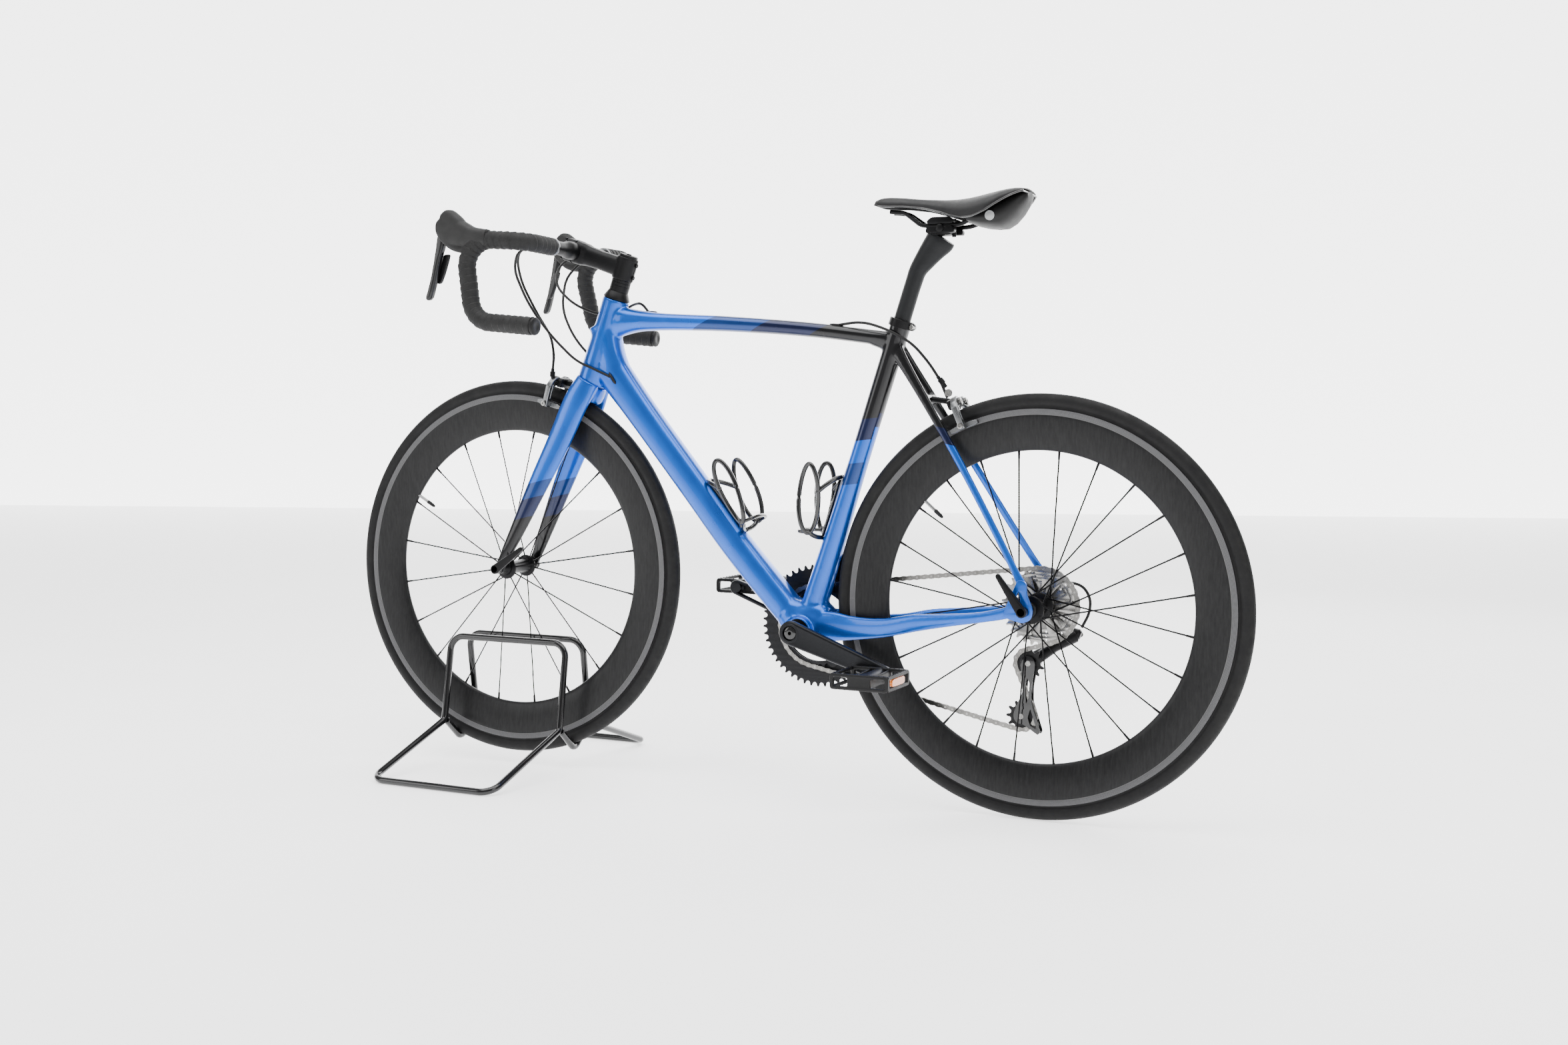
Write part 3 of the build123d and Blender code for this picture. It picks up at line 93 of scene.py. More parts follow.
def on_seat(z):
    """Point on the seat tube's axis at a height z."""
    return BB + SEAT_UP * ((z - BB[2]) / SEAT_UP[2])


def pitch_radius(teeth):
    """Radius at which the chain's pins sit on a toothed wheel."""
    return PITCH / 2 / math.sin(math.pi / teeth)


def around(count):
    """Even angles round a full turn."""
    return np.linspace(0, 2 * math.pi, count, endpoint=False)


def soft_square(count, power):
    """Unit outline between a circle (power 2) and a square."""
    a = around(count)
    return (np.sign(np.cos(a)) * np.abs(np.cos(a)) ** (2 / power),
            np.sign(np.sin(a)) * np.abs(np.sin(a)) ** (2 / power))


def span(side, inner, outer):
    """A range of Y on one side, lower end first."""
    return sorted((side * inner, side * outer))


# ------------------------------------------------------------------ mesh helpers
def merge(parts):
    """One (vertices, faces) from several."""
    verts, faces, start = [], [], 0
    for v, f in parts:
        v = np.asarray(v, float)
        verts.append(v)
        faces += [tuple(i + start for i in face) for face in f]
        start += len(v)
    return np.concatenate(verts), faces


def moved(part, matrix=None, shift=(0, 0, 0)):
    """The same mesh turned by a matrix and then shifted."""
    v, f = part
    v = np.asarray(v, float)
    if matrix is not None:
        v = v @ np.asarray(matrix, float).T
    return v + np.asarray(shift, float), f


def grid(rings, close_around=True, close_along=False, caps=True):
    """Skin over rings of equal length."""
    rings = np.asarray(rings, float)
    n, m = rings.shape[:2]
    faces = []
    for i in range(n if close_along else n - 1):
        j = (i + 1) % n
        for k in range(m if close_around else m - 1):
            l = (k + 1) % m
            faces.append((i * m + k, i * m + l, j * m + l, j * m + k))
    if caps and not close_along and close_around:
        faces.append(tuple(reversed(range(m))))
        faces.append(tuple((n - 1) * m + k for k in range(m)))
    return rings.reshape(-1, 3), faces


def spline(points, count):
    """Smooth curve through points, in any number of dimensions."""
    p = np.asarray(points, float)
    step = np.linalg.norm(np.diff(p[:, :3], axis=0), axis=1)
    t = np.concatenate([[0], np.cumsum(np.sqrt(step) + 1e-9)])
    slope = np.zeros_like(p)
    rate = np.diff(p, axis=0) / np.diff(t)[:, None]
    slope[0], slope[-1] = rate[0], rate[-1]
    for i in range(1, len(p) - 1):
        a, b = t[i] - t[i - 1], t[i + 1] - t[i]
        slope[i] = (rate[i - 1] * b + rate[i] * a) / (a + b)
    out = []
    for s in np.linspace(0, t[-1], count):
        i = min(max(np.searchsorted(t, s) - 1, 0), len(p) - 2)
        h = t[i + 1] - t[i]
        u = (s - t[i]) / h
        out.append((2 * u**3 - 3 * u**2 + 1) * p[i] + (u**3 - 2 * u**2 + u) * h * slope[i]
                   + (3 * u**2 - 2 * u**3) * p[i + 1] + (u**3 - u**2) * h * slope[i + 1])
    return np.array(out)


def filleted(points, radii, step=3.0):
    """Polyline of straight runs joined by tangent arcs."""
    p = [np.asarray(q, float) for q in points]
    out = [p[0]]
    for before, corner, after, radius in zip(p, p[1:], p[2:], radii):
        a, b = before - corner, after - corner
        a, b = a / np.linalg.norm(a), b / np.linalg.norm(b)
        half = math.acos(max(-1, min(1, a @ b))) / 2
        bisector = (a + b) / np.linalg.norm(a + b)
        centre = corner + bisector * radius / math.sin(half)
        start = corner + a * radius / math.tan(half) - centre
        end = corner + b * radius / math.tan(half) - centre
        angle = math.pi - 2 * half
        n = max(3, int(radius * angle / step))
        for i in range(n + 1):
            u = i / n
            out.append(centre + (start * math.sin((1 - u) * angle) + end * math.sin(u * angle))
                       / math.sin(angle))
    out.append(p[-1])
    return np.array(out)


def resample(path, step):
    """The same route with points at even steps."""
    path = np.asarray(path, float)
    t = np.concatenate([[0], np.cumsum(np.linalg.norm(np.diff(path, axis=0), axis=1))])
    s = np.linspace(0, t[-1], max(2, int(round(t[-1] / step)) + 1))
    return np.stack([np.interp(s, t, path[:, k]) for k in range(3)], 1)


def path_frames(path, up=None, closed=False):
    """Tangents and two normals, carried along without twisting."""
    path = np.asarray(path, float)
    if closed:
        tangent = np.roll(path, -1, 0) - np.roll(path, 1, 0)
    else:
        tangent = np.gradient(path, axis=0)
    tangent /= np.linalg.norm(tangent, axis=1)[:, None]
    first = np.asarray(up if up is not None else (0, 1, 0), float)
    if abs(first @ tangent[0]) > 0.95:
        first = np.array([1.0, 0, 0])
    normals = []
    n = first
    for t in tangent:
        n = n - t * (n @ t)
        n = n / np.linalg.norm(n)
        normals.append(n)
    normals = np.array(normals)
    return tangent, normals, np.cross(tangent, normals)


def sweep(path, radius, sides=16, closed=False, up=None, flat=(1.0, 1.0), round_ends=False):
    """Round or oval rod along a path. radius is a number or one for each point."""
    path = np.asarray(path, float)
    t, n, b = path_frames(path, up, closed)
    r = np.broadcast_to(np.asarray(radius, float), (len(path),)).copy()
    if round_ends and not closed:
        lead, scale = [], []
        for u in (0.0, 0.35, 0.7):
            lead.append(u)
            scale.append(math.sqrt(1 - (1 - u) ** 2) if u else 0.12)
        head = [path[0] - t[0] * r[0] * (1 - u) for u in lead]
        tail = [path[-1] + t[-1] * r[-1] * (1 - u) for u in reversed(lead)]
        r = np.concatenate([r[0] * np.array(scale), r, r[-1] * np.array(scale[::-1])])
        path = np.concatenate([head, path, tail])
        n = np.concatenate([[n[0]] * 3, n, [n[-1]] * 3])
        b = np.concatenate([[b[0]] * 3, b, [b[-1]] * 3])
    a = around(sides)
    rings = (path[:, None] + r[:, None, None] * (np.cos(a)[None, :, None] * n[:, None] * flat[0]
             + np.sin(a)[None, :, None] * b[:, None] * flat[1]))
    return grid(rings, close_along=closed)


def rod(a, b, radius, sides=16, end_radius=None):
    """Straight round rod, tapered when it has an end radius."""
    a, b = np.asarray(a, float), np.asarray(b, float)
    r = [radius, radius if end_radius is None else end_radius]
    return sweep([a, b], r, sides)


def turned(profile, centre, sides=96, closed=True, caps=True):
    """Solid of revolution about the Y axis through centre, from (y, radius) pairs."""
    a = around(sides)
    rings = []
    for y, r in profile:
        rings.append(np.stack([centre[0] + r * np.cos(a), np.full(sides, centre[1] + y),
                               centre[2] + r * np.sin(a)], 1))
    return grid(rings, close_along=closed, caps=caps)


def turned_about(profile, origin, axis, sides=48):
    """Solid of revolution about any axis, from (distance along, radius) pairs."""
    axis = np.asarray(axis, float)
    axis = axis / np.linalg.norm(axis)
    u = np.cross(axis, (0.3, 0.9, 0.1))
    u /= np.linalg.norm(u)
    v = np.cross(axis, u)
    a = around(sides)
    rings = [np.asarray(origin, float) + axis * s + r * (np.cos(a)[:, None] * u + np.sin(a)[:, None] * v)
             for s, r in profile]
    return grid(rings)


def loft_tube(stations, count=60, sides=28, power=2.3):
    """Smooth tube through (x, y, z, width across, depth in the side view)."""
    s = spline(stations, count)
    heading = np.gradient(s[:, :3], axis=0)
    heading[:, 1] = 0
    heading /= np.linalg.norm(heading, axis=1)[:, None]
    depth = np.cross(heading, SIDE)
    c, d = soft_square(sides, power)
    rings = (s[:, None, :3] + s[:, 3, None, None] / 2 * c[None, :, None] * SIDE
             + s[:, 4, None, None] / 2 * d[None, :, None] * depth[:, None])
    return grid(rings)


def rounded_outline(points, radius, steps=4):
    """Closed outline with its corners rounded."""
    p = [np.asarray(q, float) for q in points]
    out = []
    for i, corner in enumerate(p):
        a, b = p[i - 1] - corner, p[(i + 1) % len(p)] - corner
        la, lb = np.linalg.norm(a), np.linalg.norm(b)
        r = radius[i] if hasattr(radius, "__len__") else radius
        cut = min(r, 0.45 * la, 0.45 * lb)
        start, end = corner + a / la * cut, corner + b / lb * cut
        for k in range(steps + 1):
            u = k / steps
            out.append((1 - u) ** 2 * start + 2 * u * (1 - u) * corner + u * u * end)
    return out


def circle(cx, cz, r, n=32, start=0.0):
    """Outline of a circle."""
    a = around(n) + start
    return [(cx + r * math.cos(t), cz + r * math.sin(t)) for t in a]


def plate(outlines, y_low, y_high, bevel=0.6, resolution=2):
    """Plate with (x, z) outlines, holes included, and softened edges."""
    curve = bpy.data.curves.new("plate", "CURVE")
    curve.dimensions = "2D"
    curve.fill_mode = "BOTH"
    thickness = y_high - y_low
    bevel = min(bevel, thickness / 2.05)
    curve.extrude = thickness / 2 - bevel
    curve.bevel_depth = bevel
    curve.bevel_resolution = resolution
    curve.offset = -bevel
    for outline in outlines:
        line = curve.splines.new("POLY")
        line.points.add(len(outline) - 1)
        for point, (x, z) in zip(line.points, outline):
            point.co = (x, z, 0, 1)
        line.use_cyclic_u = True
    holder = bpy.data.objects.new("plate", curve)
    bpy.context.scene.collection.objects.link(holder)
    bpy.context.view_layer.update()
    mesh = holder.evaluated_get(bpy.context.evaluated_depsgraph_get()).to_mesh()
    v = np.array([p.co for p in mesh.vertices], float).reshape(-1, 3)
    f = [tuple(reversed(p.vertices)) for p in mesh.polygons]
    holder.to_mesh_clear()
    bpy.data.objects.remove(holder)
    bpy.data.curves.remove(curve)
    middle = (y_low + y_high) / 2
    return np.stack([v[:, 0], middle + v[:, 2], v[:, 1]], 1), f


def link_outline(a, b, ra, rb, n=20):
    """Outline round two circles."""
    a, b = np.asarray(a, float), np.asarray(b, float)
    d = b - a
    base = math.atan2(d[1], d[0])
    turn = math.acos((ra - rb) / np.linalg.norm(d))
    out = []
    for t in np.linspace(base + turn, base + 2 * math.pi - turn, n):
        out.append((a[0] + ra * math.cos(t), a[1] + ra * math.sin(t)))
    for t in np.linspace(base - turn, base + turn, n):
        out.append((b[0] + rb * math.cos(t), b[1] + rb * math.sin(t)))
    return out


def piece(name, part, body, material, replaces=(), smooth=True, sharp=40):
    """Makes one shown piece from (vertices, faces) in millimetres."""
    verts, faces = part
    mesh = bpy.data.meshes.new(name)
    mesh.from_pydata((np.asarray(verts, float) * MM).tolist(), [], faces)
    mesh.validate()
    bm = bmesh.new()
    bm.from_mesh(mesh)
    bmesh.ops.remove_doubles(bm, verts=bm.verts, dist=2e-6)
    bmesh.ops.recalc_face_normals(bm, faces=bm.faces)
    bm.to_mesh(mesh)
    bm.free()
    obj = bpy.data.objects.new(name, mesh)
    bpy.context.scene.collection.objects.link(obj)
    return dress(obj, body, material, replaces, smooth, sharp)


def dress(obj, body, material, replaces=(), smooth=True, sharp=40):
    """Gives an object its material, its shading and its place in the table."""
    mesh = obj.data
    if material is not None:
        mesh.materials.clear()
        mesh.materials.append(material)
    if smooth:
        mesh.polygons.foreach_set("use_smooth", [True] * len(mesh.polygons))
        mesh.set_sharp_from_angle(angle=math.radians(sharp))
    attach(obj, body)
    if replaces:
        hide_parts(*replaces)
    return obj


def fused(name, parts, voxel, smooth_steps, cuts=()):
    """Joins closed solids into one skin with soft junctions, and then cuts bores."""
    mesh = bpy.data.meshes.new(name)
    verts, faces = merge(parts)
    mesh.from_pydata((verts * MM).tolist(), [], faces)
    obj = bpy.data.objects.new(name, mesh)
    bpy.context.scene.collection.objects.link(obj)
    remesh = obj.modifiers.new("skin", "REMESH")
    remesh.mode = "VOXEL"
    remesh.voxel_size = voxel * MM
    soften = obj.modifiers.new("soft", "SMOOTH")
    soften.factor = 0.5
    soften.iterations = smooth_steps
    cutters = []
    for cut in cuts:
        cut_mesh = bpy.data.meshes.new("cutter")
        cut_mesh.from_pydata((np.asarray(cut[0]) * MM).tolist(), [], cut[1])
        cutter = bpy.data.objects.new("cutter", cut_mesh)
        bpy.context.scene.collection.objects.link(cutter)
        cutters.append(cutter)
        modifier = obj.modifiers.new("bore", "BOOLEAN")
        modifier.operation = "DIFFERENCE"
        modifier.solver = "FAST"
        modifier.object = cutter
    bpy.context.view_layer.update()
    done = bpy.data.meshes.new_from_object(obj.evaluated_get(bpy.context.evaluated_depsgraph_get()))
    obj.modifiers.clear()
    obj.data = done
    done.name = name
    bpy.data.meshes.remove(mesh)
    for cutter in cutters:
        bpy.data.objects.remove(cutter)
    return obj


# ------------------------------------------------------------------ materials
class Graph:
    """Short names for building a node graph."""

    def __init__(self, name):
        self.material = bpy.data.materials.new(name)
        self.material.use_nodes = True
        self.tree = self.material.node_tree
        self.shader = self.tree.nodes["Principled BSDF"]
        self.coord = self.tree.nodes.new("ShaderNodeTexCoord").outputs["Object"]

    def node(self, kind, **settings):
        made = self.tree.nodes.new("ShaderNode" + kind)
        for key, value in settings.items():
            setattr(made, key, value)
        return made

    def link(self, a, b):
        self.tree.links.new(a, b)

    def put(self, socket, value):
        if hasattr(value, "is_output") or isinstance(value, bpy.types.NodeSocket):
            self.link(value, socket)
        else:
            socket.default_value = value

    def math(self, operation, a, b=0.0, c=0.0):
        made = self.node("Math", operation=operation)
        self.put(made.inputs[0], a)
        self.put(made.inputs[1], b)
        self.put(made.inputs[2], c)
        return made.outputs[0]

    def xyz(self):
        split = self.node("SeparateXYZ")
        self.link(self.coord, split.inputs[0])
        return split.outputs

    def polar(self, axle):
        """Distance from a wheel's axle and angle round it."""
        x, _, z = self.xyz()
        dx = self.math("SUBTRACT", x, axle[0] * MM)
        dz = self.math("SUBTRACT", z, axle[2] * MM)
        squares = self.math("ADD", self.math("MULTIPLY", dx, dx), self.math("MULTIPLY", dz, dz))
        return self.math("SQRT", squares), self.math("ARCTAN2", dz, dx)

    def noise(self, scale, detail=3.0, rough=0.5, stretch=None):
        vector = self.coord
        if stretch is not None:
            mapping = self.node("Mapping")
            self.link(vector, mapping.inputs["Vector"])
            mapping.inputs["Scale"].default_value = stretch
            vector = mapping.outputs[0]
        made = self.node("TexNoise")
        self.link(vector, made.inputs["Vector"])
        made.inputs["Scale"].default_value = scale
        made.inputs["Detail"].default_value = detail
        made.inputs["Roughness"].default_value = rough
        return made.outputs["Fac"]

    def cells(self, scale, feature="F1"):
        made = self.node("TexVoronoi", feature=feature)
        self.link(self.coord, made.inputs["Vector"])
        made.inputs["Scale"].default_value = scale
        return made.outputs["Distance"]

    def between(self, value, low, high, to_low, to_high):
        made = self.node("MapRange")
        self.put(made.inputs["Value"], value)
        for name, number in (("From Min", low), ("From Max", high), ("To Min", to_low),
                             ("To Max", to_high)):
            made.inputs[name].default_value = number
        return made.outputs["Result"]

    def mix(self, share, a, b, kind="MIX"):
        made = self.node("Mix", data_type="RGBA", blend_type=kind)
        self.put(made.inputs["Factor"], share)
        colour_sockets = [s for s in made.inputs if s.type == "RGBA"]
        for socket, value in zip(colour_sockets, (a, b)):
            if isinstance(value, bpy.types.NodeSocket):
                self.link(value, socket)
            else:
                socket.default_value = (*value, 1.0) if len(value) == 3 else value
        return [s for s in made.outputs if s.type == "RGBA"][0]

    def bump(self, height, strength=0.3, distance=0.0003, after=None):
        made = self.node("Bump")
        made.inputs["Strength"].default_value = strength
        made.inputs["Distance"].default_value = distance
        self.link(height, made.inputs["Height"])
        if after is not None:
            self.link(after, made.inputs["Normal"])
        return made.outputs["Normal"]

    def set(self, **values):
        for key, value in values.items():
            name = key.replace("_", " ")
            if name == "Base Color" and not isinstance(value, bpy.types.NodeSocket):
                value = (*value, 1.0)
            self.put(self.shader.inputs[name], value)
        return self.material


def finish_material(name, colour, rough=0.5, metal=0.0, grain=900.0, grain_share=0.12, bump=0.15,
                    bump_scale=2500.0, bump_depth=0.0002, coat=0.0, coat_rough=0.05, wear=0.1,
                    stretch=None, specular=0.22):
    """A surface with fine grain in its colour, a patchy sheen and a real small relief."""
    g = Graph(name)
    colour = np.array(colour)
    tint = g.mix(g.between(g.noise(grain, 4, 0.6, stretch), 0.3, 0.7, 0, 1),
                 tuple(colour * (1 - grain_share)), tuple(np.minimum(colour * (1 + grain_share), 1)))
    sheen = g.between(g.noise(60, 3), 0.3, 0.7, rough * (1 - wear), min(1, rough * (1 + wear)))
    normal = g.bump(g.noise(bump_scale, 2, 0.6, stretch), bump, bump_depth)
    g.set(Base_Color=tint, Roughness=sheen, Metallic=metal, Normal=normal)
    g.shader.inputs["Coat Weight"].default_value = coat
    g.shader.inputs["Coat Roughness"].default_value = coat_rough
    g.shader.inputs["Specular IOR Level"].default_value = specular
    return g.material


BRIGHT = (0.0, 0.105, 0.56)
MIDDLE = (0.0, 0.034, 0.18)
NAVY = (0.001, 0.006, 0.045)
BLACK = (0.004, 0.004, 0.005)


def paint(name, along, levels, colours):
    """Metallic paint under clear lacquer, in bands along a direction (x, y, z), in metres."""
    g = Graph(name)
    dot = g.node("VectorMath", operation="DOT_PRODUCT")
    g.link(g.coord, dot.inputs[0])
    dot.inputs[1].default_value = along
    place = dot.outputs["Value"]
    colour = None
    for level, after in zip([None, *levels], colours):
        flake = g.mix(g.between(g.cells(2600), 0.1, 0.6, 0, 1),
                      tuple(min(1.0, c * 1.12 + 0.002) for c in after), tuple(c * 0.86 for c in after))
        if colour is None:
            colour = flake
        else:
            colour = g.mix(g.math("GREATER_THAN", place, level), colour, flake)
    shade = g.between(g.noise(9, 2), 0.3, 0.7, 0.94, 1.0)
    colour = g.mix(1.0, colour, g.mix(shade, (0, 0, 0), (1, 1, 1)), "MULTIPLY")
    normal = g.bump(g.cells(2600), 0.06, 0.00012)
    g.set(Base_Color=colour, Metallic=0.7, Normal=normal,
          Roughness=g.between(g.noise(35, 3), 0.3, 0.7, 0.27, 0.34))
    g.shader.inputs["Coat Weight"].default_value = 0.5
    g.shader.inputs["Coat Roughness"].default_value = 0.04
    return g.material


def carbon_rim(name, axle):
    """Matt one-way carbon with a woven brake track near the edge."""
    g = Graph(name)
    radius, angle = g.polar(axle)
    around = g.math("MULTIPLY", angle, 0.308)
    across = g.math("SINE", g.math("MULTIPLY", g.math("ADD", around, radius), 2 * math.pi / 0.0022))
    down = g.math("SINE", g.math("MULTIPLY", g.math("SUBTRACT", around, radius), 2 * math.pi / 0.0022))
    weave = g.between(g.math("MULTIPLY", across, down), -0.4, 0.4, 0, 1)
    fibre = g.noise(60, 4, 0.65, (6, 1, 1))
    body = g.mix(g.between(fibre, 0.3, 0.7, 0, 1), (0.0045, 0.0045, 0.005), (0.011, 0.011, 0.0115))
    track = g.mix(weave, (0.016, 0.016, 0.017), (0.14, 0.14, 0.145))
    on_track = g.math("GREATER_THAN", radius, 0.3035)
    line = g.math("LESS_THAN", g.math("ABSOLUTE", g.math("SUBTRACT", radius, 0.3028)), 0.0005)
    colour = g.mix(on_track, body, track)
    colour = g.mix(line, colour, (0.10, 0.10, 0.10))
    normal = g.bump(g.math("MULTIPLY", weave, on_track), 0.25, 0.0002,
                    g.bump(g.noise(1500, 2), 0.08, 0.0001))
    g.set(Base_Color=colour, Normal=normal,
          Roughness=g.between(g.noise(25, 3), 0.3, 0.7, 0.34, 0.42))
    g.shader.inputs["Specular IOR Level"].default_value = 0.16
    g.shader.inputs["Coat Weight"].default_value = 0.08
    g.shader.inputs["Coat Roughness"].default_value = 0.2
    return g.material


def tyre_rubber(name, axle):
    """Black tread rubber with a finely ribbed casing on its sides."""
    g = Graph(name)
    radius, angle = g.polar(axle)
    thread = g.math("SINE", g.math("ADD", g.math("MULTIPLY", angle, 1400.0),
                                   g.math("MULTIPLY", radius, 4500.0)))
    side = g.math("LESS_THAN", radius, 0.3285)
    dust = g.between(g.noise(45, 4, 0.7), 0.35, 0.75, 0, 1)
    colour = g.mix(dust, (0.0065, 0.0065, 0.007), (0.014, 0.0138, 0.0135))
    colour = g.mix(g.math("MULTIPLY", side, 0.5), colour, (0.010, 0.010, 0.0105))
    normal = g.bump(g.math("MULTIPLY", thread, side), 0.12, 0.00012,
                    g.bump(g.noise(1800, 3), 0.25, 0.0002))
    g.set(Base_Color=colour, Normal=normal,
          Roughness=g.between(g.noise(60, 3), 0.3, 0.7, 0.5, 0.66))
    g.shader.inputs["Specular IOR Level"].default_value = 0.14
    return g.material


FRAME_PAINT = paint("frame_paint", (1, 0, 0), [], [BRIGHT])
TOP_PAINT = paint("top_tube_paint", (1, 0, -2.0), [-0.100 - 1.582, 0.006 - 1.568, 0.110 - 1.548],
                  [BRIGHT, MIDDLE, NAVY, BLACK])
SEAT_PAINT = paint("seat_tube_paint", (-0.12, 0, 1), [0.502, 0.536, 0.572, 0.606],
                   [BRIGHT, MIDDLE, BRIGHT, NAVY, BLACK])
STAY_PAINT = paint("seat_stay_paint", (0.2, 0, 1), [0.648 + 0.012, 0.672 + 0.012], [BRIGHT, NAVY, BLACK])
FORK_PAINT = paint("fork_paint", (-0.25, 0, 1), [0.560, 0.592, 0.618], [BLACK, NAVY, MIDDLE, BRIGHT])
FRONT_RIM = carbon_rim("front_rim_carbon", FRONT_AXLE)
REAR_RIM = carbon_rim("rear_rim_carbon", REAR_AXLE)
FRONT_RUBBER = tyre_rubber("front_tyre_rubber", FRONT_AXLE)
REAR_RUBBER = tyre_rubber("rear_tyre_rubber", REAR_AXLE)
STAND_PAINT = finish_material("stand_enamel", (0.003, 0.003, 0.0034), 0.2, bump=0.1,
                              bump_scale=420, bump_depth=0.0004, coat=0.6, coat_rough=0.06)
BLACK_STEEL = finish_material("black_steel", (0.007, 0.007, 0.0075), 0.32, 0.7, bump=0.08)
HUB_BLACK = finish_material("hub_black", (0.006, 0.006, 0.0065), 0.30, 0.55, bump=0.1,
                            stretch=(1, 30, 1))
BLACK_ALLOY = finish_material("black_alloy", (0.006, 0.006, 0.0065), 0.38, 0.5, bump=0.16)
STEM_BLACK = finish_material("stem_black", (0.005, 0.005, 0.0055), 0.42, 0.35, bump=0.2)
GREY_ALLOY = finish_material("grey_alloy", (0.19, 0.195, 0.20), 0.28, 0.95, bump=0.12)
CRANK_GREY = finish_material("crank_grey", (0.014, 0.0145, 0.016), 0.36, 0.7, bump=0.14)
RING_GREY = finish_material("ring_grey", (0.018, 0.018, 0.019), 0.5, 0.7, bump=0.2)
STEEL = finish_material("steel", (0.30, 0.295, 0.285), 0.27, 1.0, bump=0.12, wear=0.25)
CHAIN_STEEL = finish_material("chain_steel", (0.21, 0.205, 0.195), 0.33, 1.0, bump=0.12, wear=0.3)
POST_GREY = finish_material("post_grey", (0.011, 0.0115, 0.0125), 0.46, 0.35, bump=0.14)
HOOD_RUBBER = finish_material("hood_rubber", (0.005, 0.005, 0.005), 0.62, 0, bump=0.4,
                              bump_scale=1500, bump_depth=0.0003, specular=0.4)
TAPE = finish_material("tape_cork", (0.006, 0.006, 0.006), 0.68, 0, grain=700, grain_share=0.35,
                       bump=0.5, bump_scale=900, bump_depth=0.0004, specular=0.35)
LEVER_BLACK = finish_material("lever_black", (0.005, 0.005, 0.0055), 0.30, 0.2, bump=0.08, coat=0.4)
GLOSS_BLACK = finish_material("gloss_black", (0.0045, 0.0045, 0.005), 0.14, 0, bump=0.05, coat=0.8,
                              coat_rough=0.04)
PLASTIC = finish_material("black_plastic", (0.006, 0.006, 0.0063), 0.45, 0, bump=0.3,
                          bump_scale=1300, bump_depth=0.0002)
SADDLE_COVER = finish_material("saddle_cover", (0.0045, 0.0045, 0.005), 0.50, 0, grain=500, bump=0.2,
                               specular=0.3,
                               bump_scale=1100, bump_depth=0.0003)
CABLE_BLACK = finish_material("cable_black", (0.005, 0.005, 0.005), 0.4, 0, bump=0.1)
SPOKE_BLACK = finish_material("spoke_black", (0.006, 0.006, 0.0065), 0.32, 0.8, bump=0.06)
BADGE = finish_material("badge_grey", (0.42, 0.43, 0.44), 0.35, 0.3, bump=0.1)
BRASS = finish_material("valve_metal", (0.30, 0.30, 0.30), 0.25, 1.0, bump=0.1)


def amber():
    g = Graph("amber_lens")
    cell = g.cells(420)
    colour = g.mix(g.between(cell, 0.1, 0.7, 0, 1), (0.95, 0.30, 0.015), (0.65, 0.12, 0.005))
    g.set(Base_Color=colour, Roughness=0.15, Normal=g.bump(cell, 0.6, 0.0005))
    g.shader.inputs["Coat Weight"].default_value = 0.8
    return g.material


AMBER = amber()

# ------------------------------------------------------------------ frame
top_tube = loft_tube([(-285, 0, 795, 36, 58), (-262, 0, 797, 42, 50), (-232, 0, 797, 40, 38),
                      (-190, 0, 795, 37, 31), (-60, 0, 789, 34, 26.5), (100, 0, 776, 32, 24.5),
                      (220, 0, 761, 30, 25), (252, 0, 757, 28, 27)], 60)
down_tube = loft_tube([(-303, 0, 733, 40, 66), (-286, 0, 713, 45, 62), (-258, 0, 679, 46, 57),
                       (-215, 0, 627, 46, 53), (-120, 0, 513, 47, 52), (-40, 0, 416, 48, 52),
                       (40, 0, 330, 54, 51), (87, 0, 281.5, 60, 48)], 70, power=2.7)
seat_tube = loft_tube([(BB[0], 0, BB[2], 54, 46), (*on_seat(320), 50, 43), (*on_seat(400), 44, 38),
                       (*on_seat(560), 36, 32), (*on_seat(700), 33.5, 33), (*on_seat(788), 33.5, 33.5)], 60)
head_tube = sweep([on_head(0), on_head(12), on_head(40), on_head(80), on_head(125),
                   on_head(HEAD_TUBE_LENGTH)],
                  [27, 27, 25.6, 24.2, 23.4, 23.4], 48)
gusset = loft_tube([(-300, 0, 792, 44, 58), (-293, 0, 764, 45, 48), (-287, 0, 738, 45, 48),
                    (-278, 0, 706, 45, 56)], 24, power=2.7)
bb_web = loft_tube([(48, 0, 314, 52, 46), (84, 0, 302, 58, 54), (112, 0, 300, 60, 58),
                    (130, 0, 297, 56, 48),
                    (137, 0, 296, 46, 38)], 24, power=2.8)
seat_gusset = loft_tube([(206, 0, 760, 26, 22), (228, 0, 752, 24, 24), (240, 0, 738, 22, 20)], 14)
bb_core = turned([(-38, 0.5), (-38, 23), (38, 23), (38, 0.5)], BB, 48, closed=False)
bb_blend = loft_tube([(60, 0, 306, 60, 44), (84, 0, 284, 72, 52), (112, 0, 281, 66, 50),
                      (140, 0, 283, 52, 44)], 24, power=2.8)


def chainstay(side):
    """One chainstay, deep at the shell and slim at the dropout."""
    return loft_tube([(112, side * 20, 286, 20, 52), (150, side * 24, 289, 17, 50),
                      (185, side * 28.5, 289, 15, 41), (245, side * 38, 294, 15, 32),
                      (302, side * 46.5, 306, 14, 29), (357, side * 54, 314, 13, 22),
                      (411, side * 60, 322, 12, 18), (452, side * 65, 331, 9, 20),
                      (470, side * 67.6, 337, 6.2, 22)], 60)


def seatstay(side):
    """One seatstay, bowed out round the tyre."""
    return loft_tube([(246, side * 8, 745, 14, 26), (262, side * 13, 722, 13, 21),
                      (309, side * 23, 652, 11.5, 15.5), (375, side * 35, 549, 11, 13.5),
                      (436, side * 51, 450, 11, 13), (470, side * 63, 395, 8, 14),
                      (482, side * 67.6, 376, 6.2, 18)], 70)


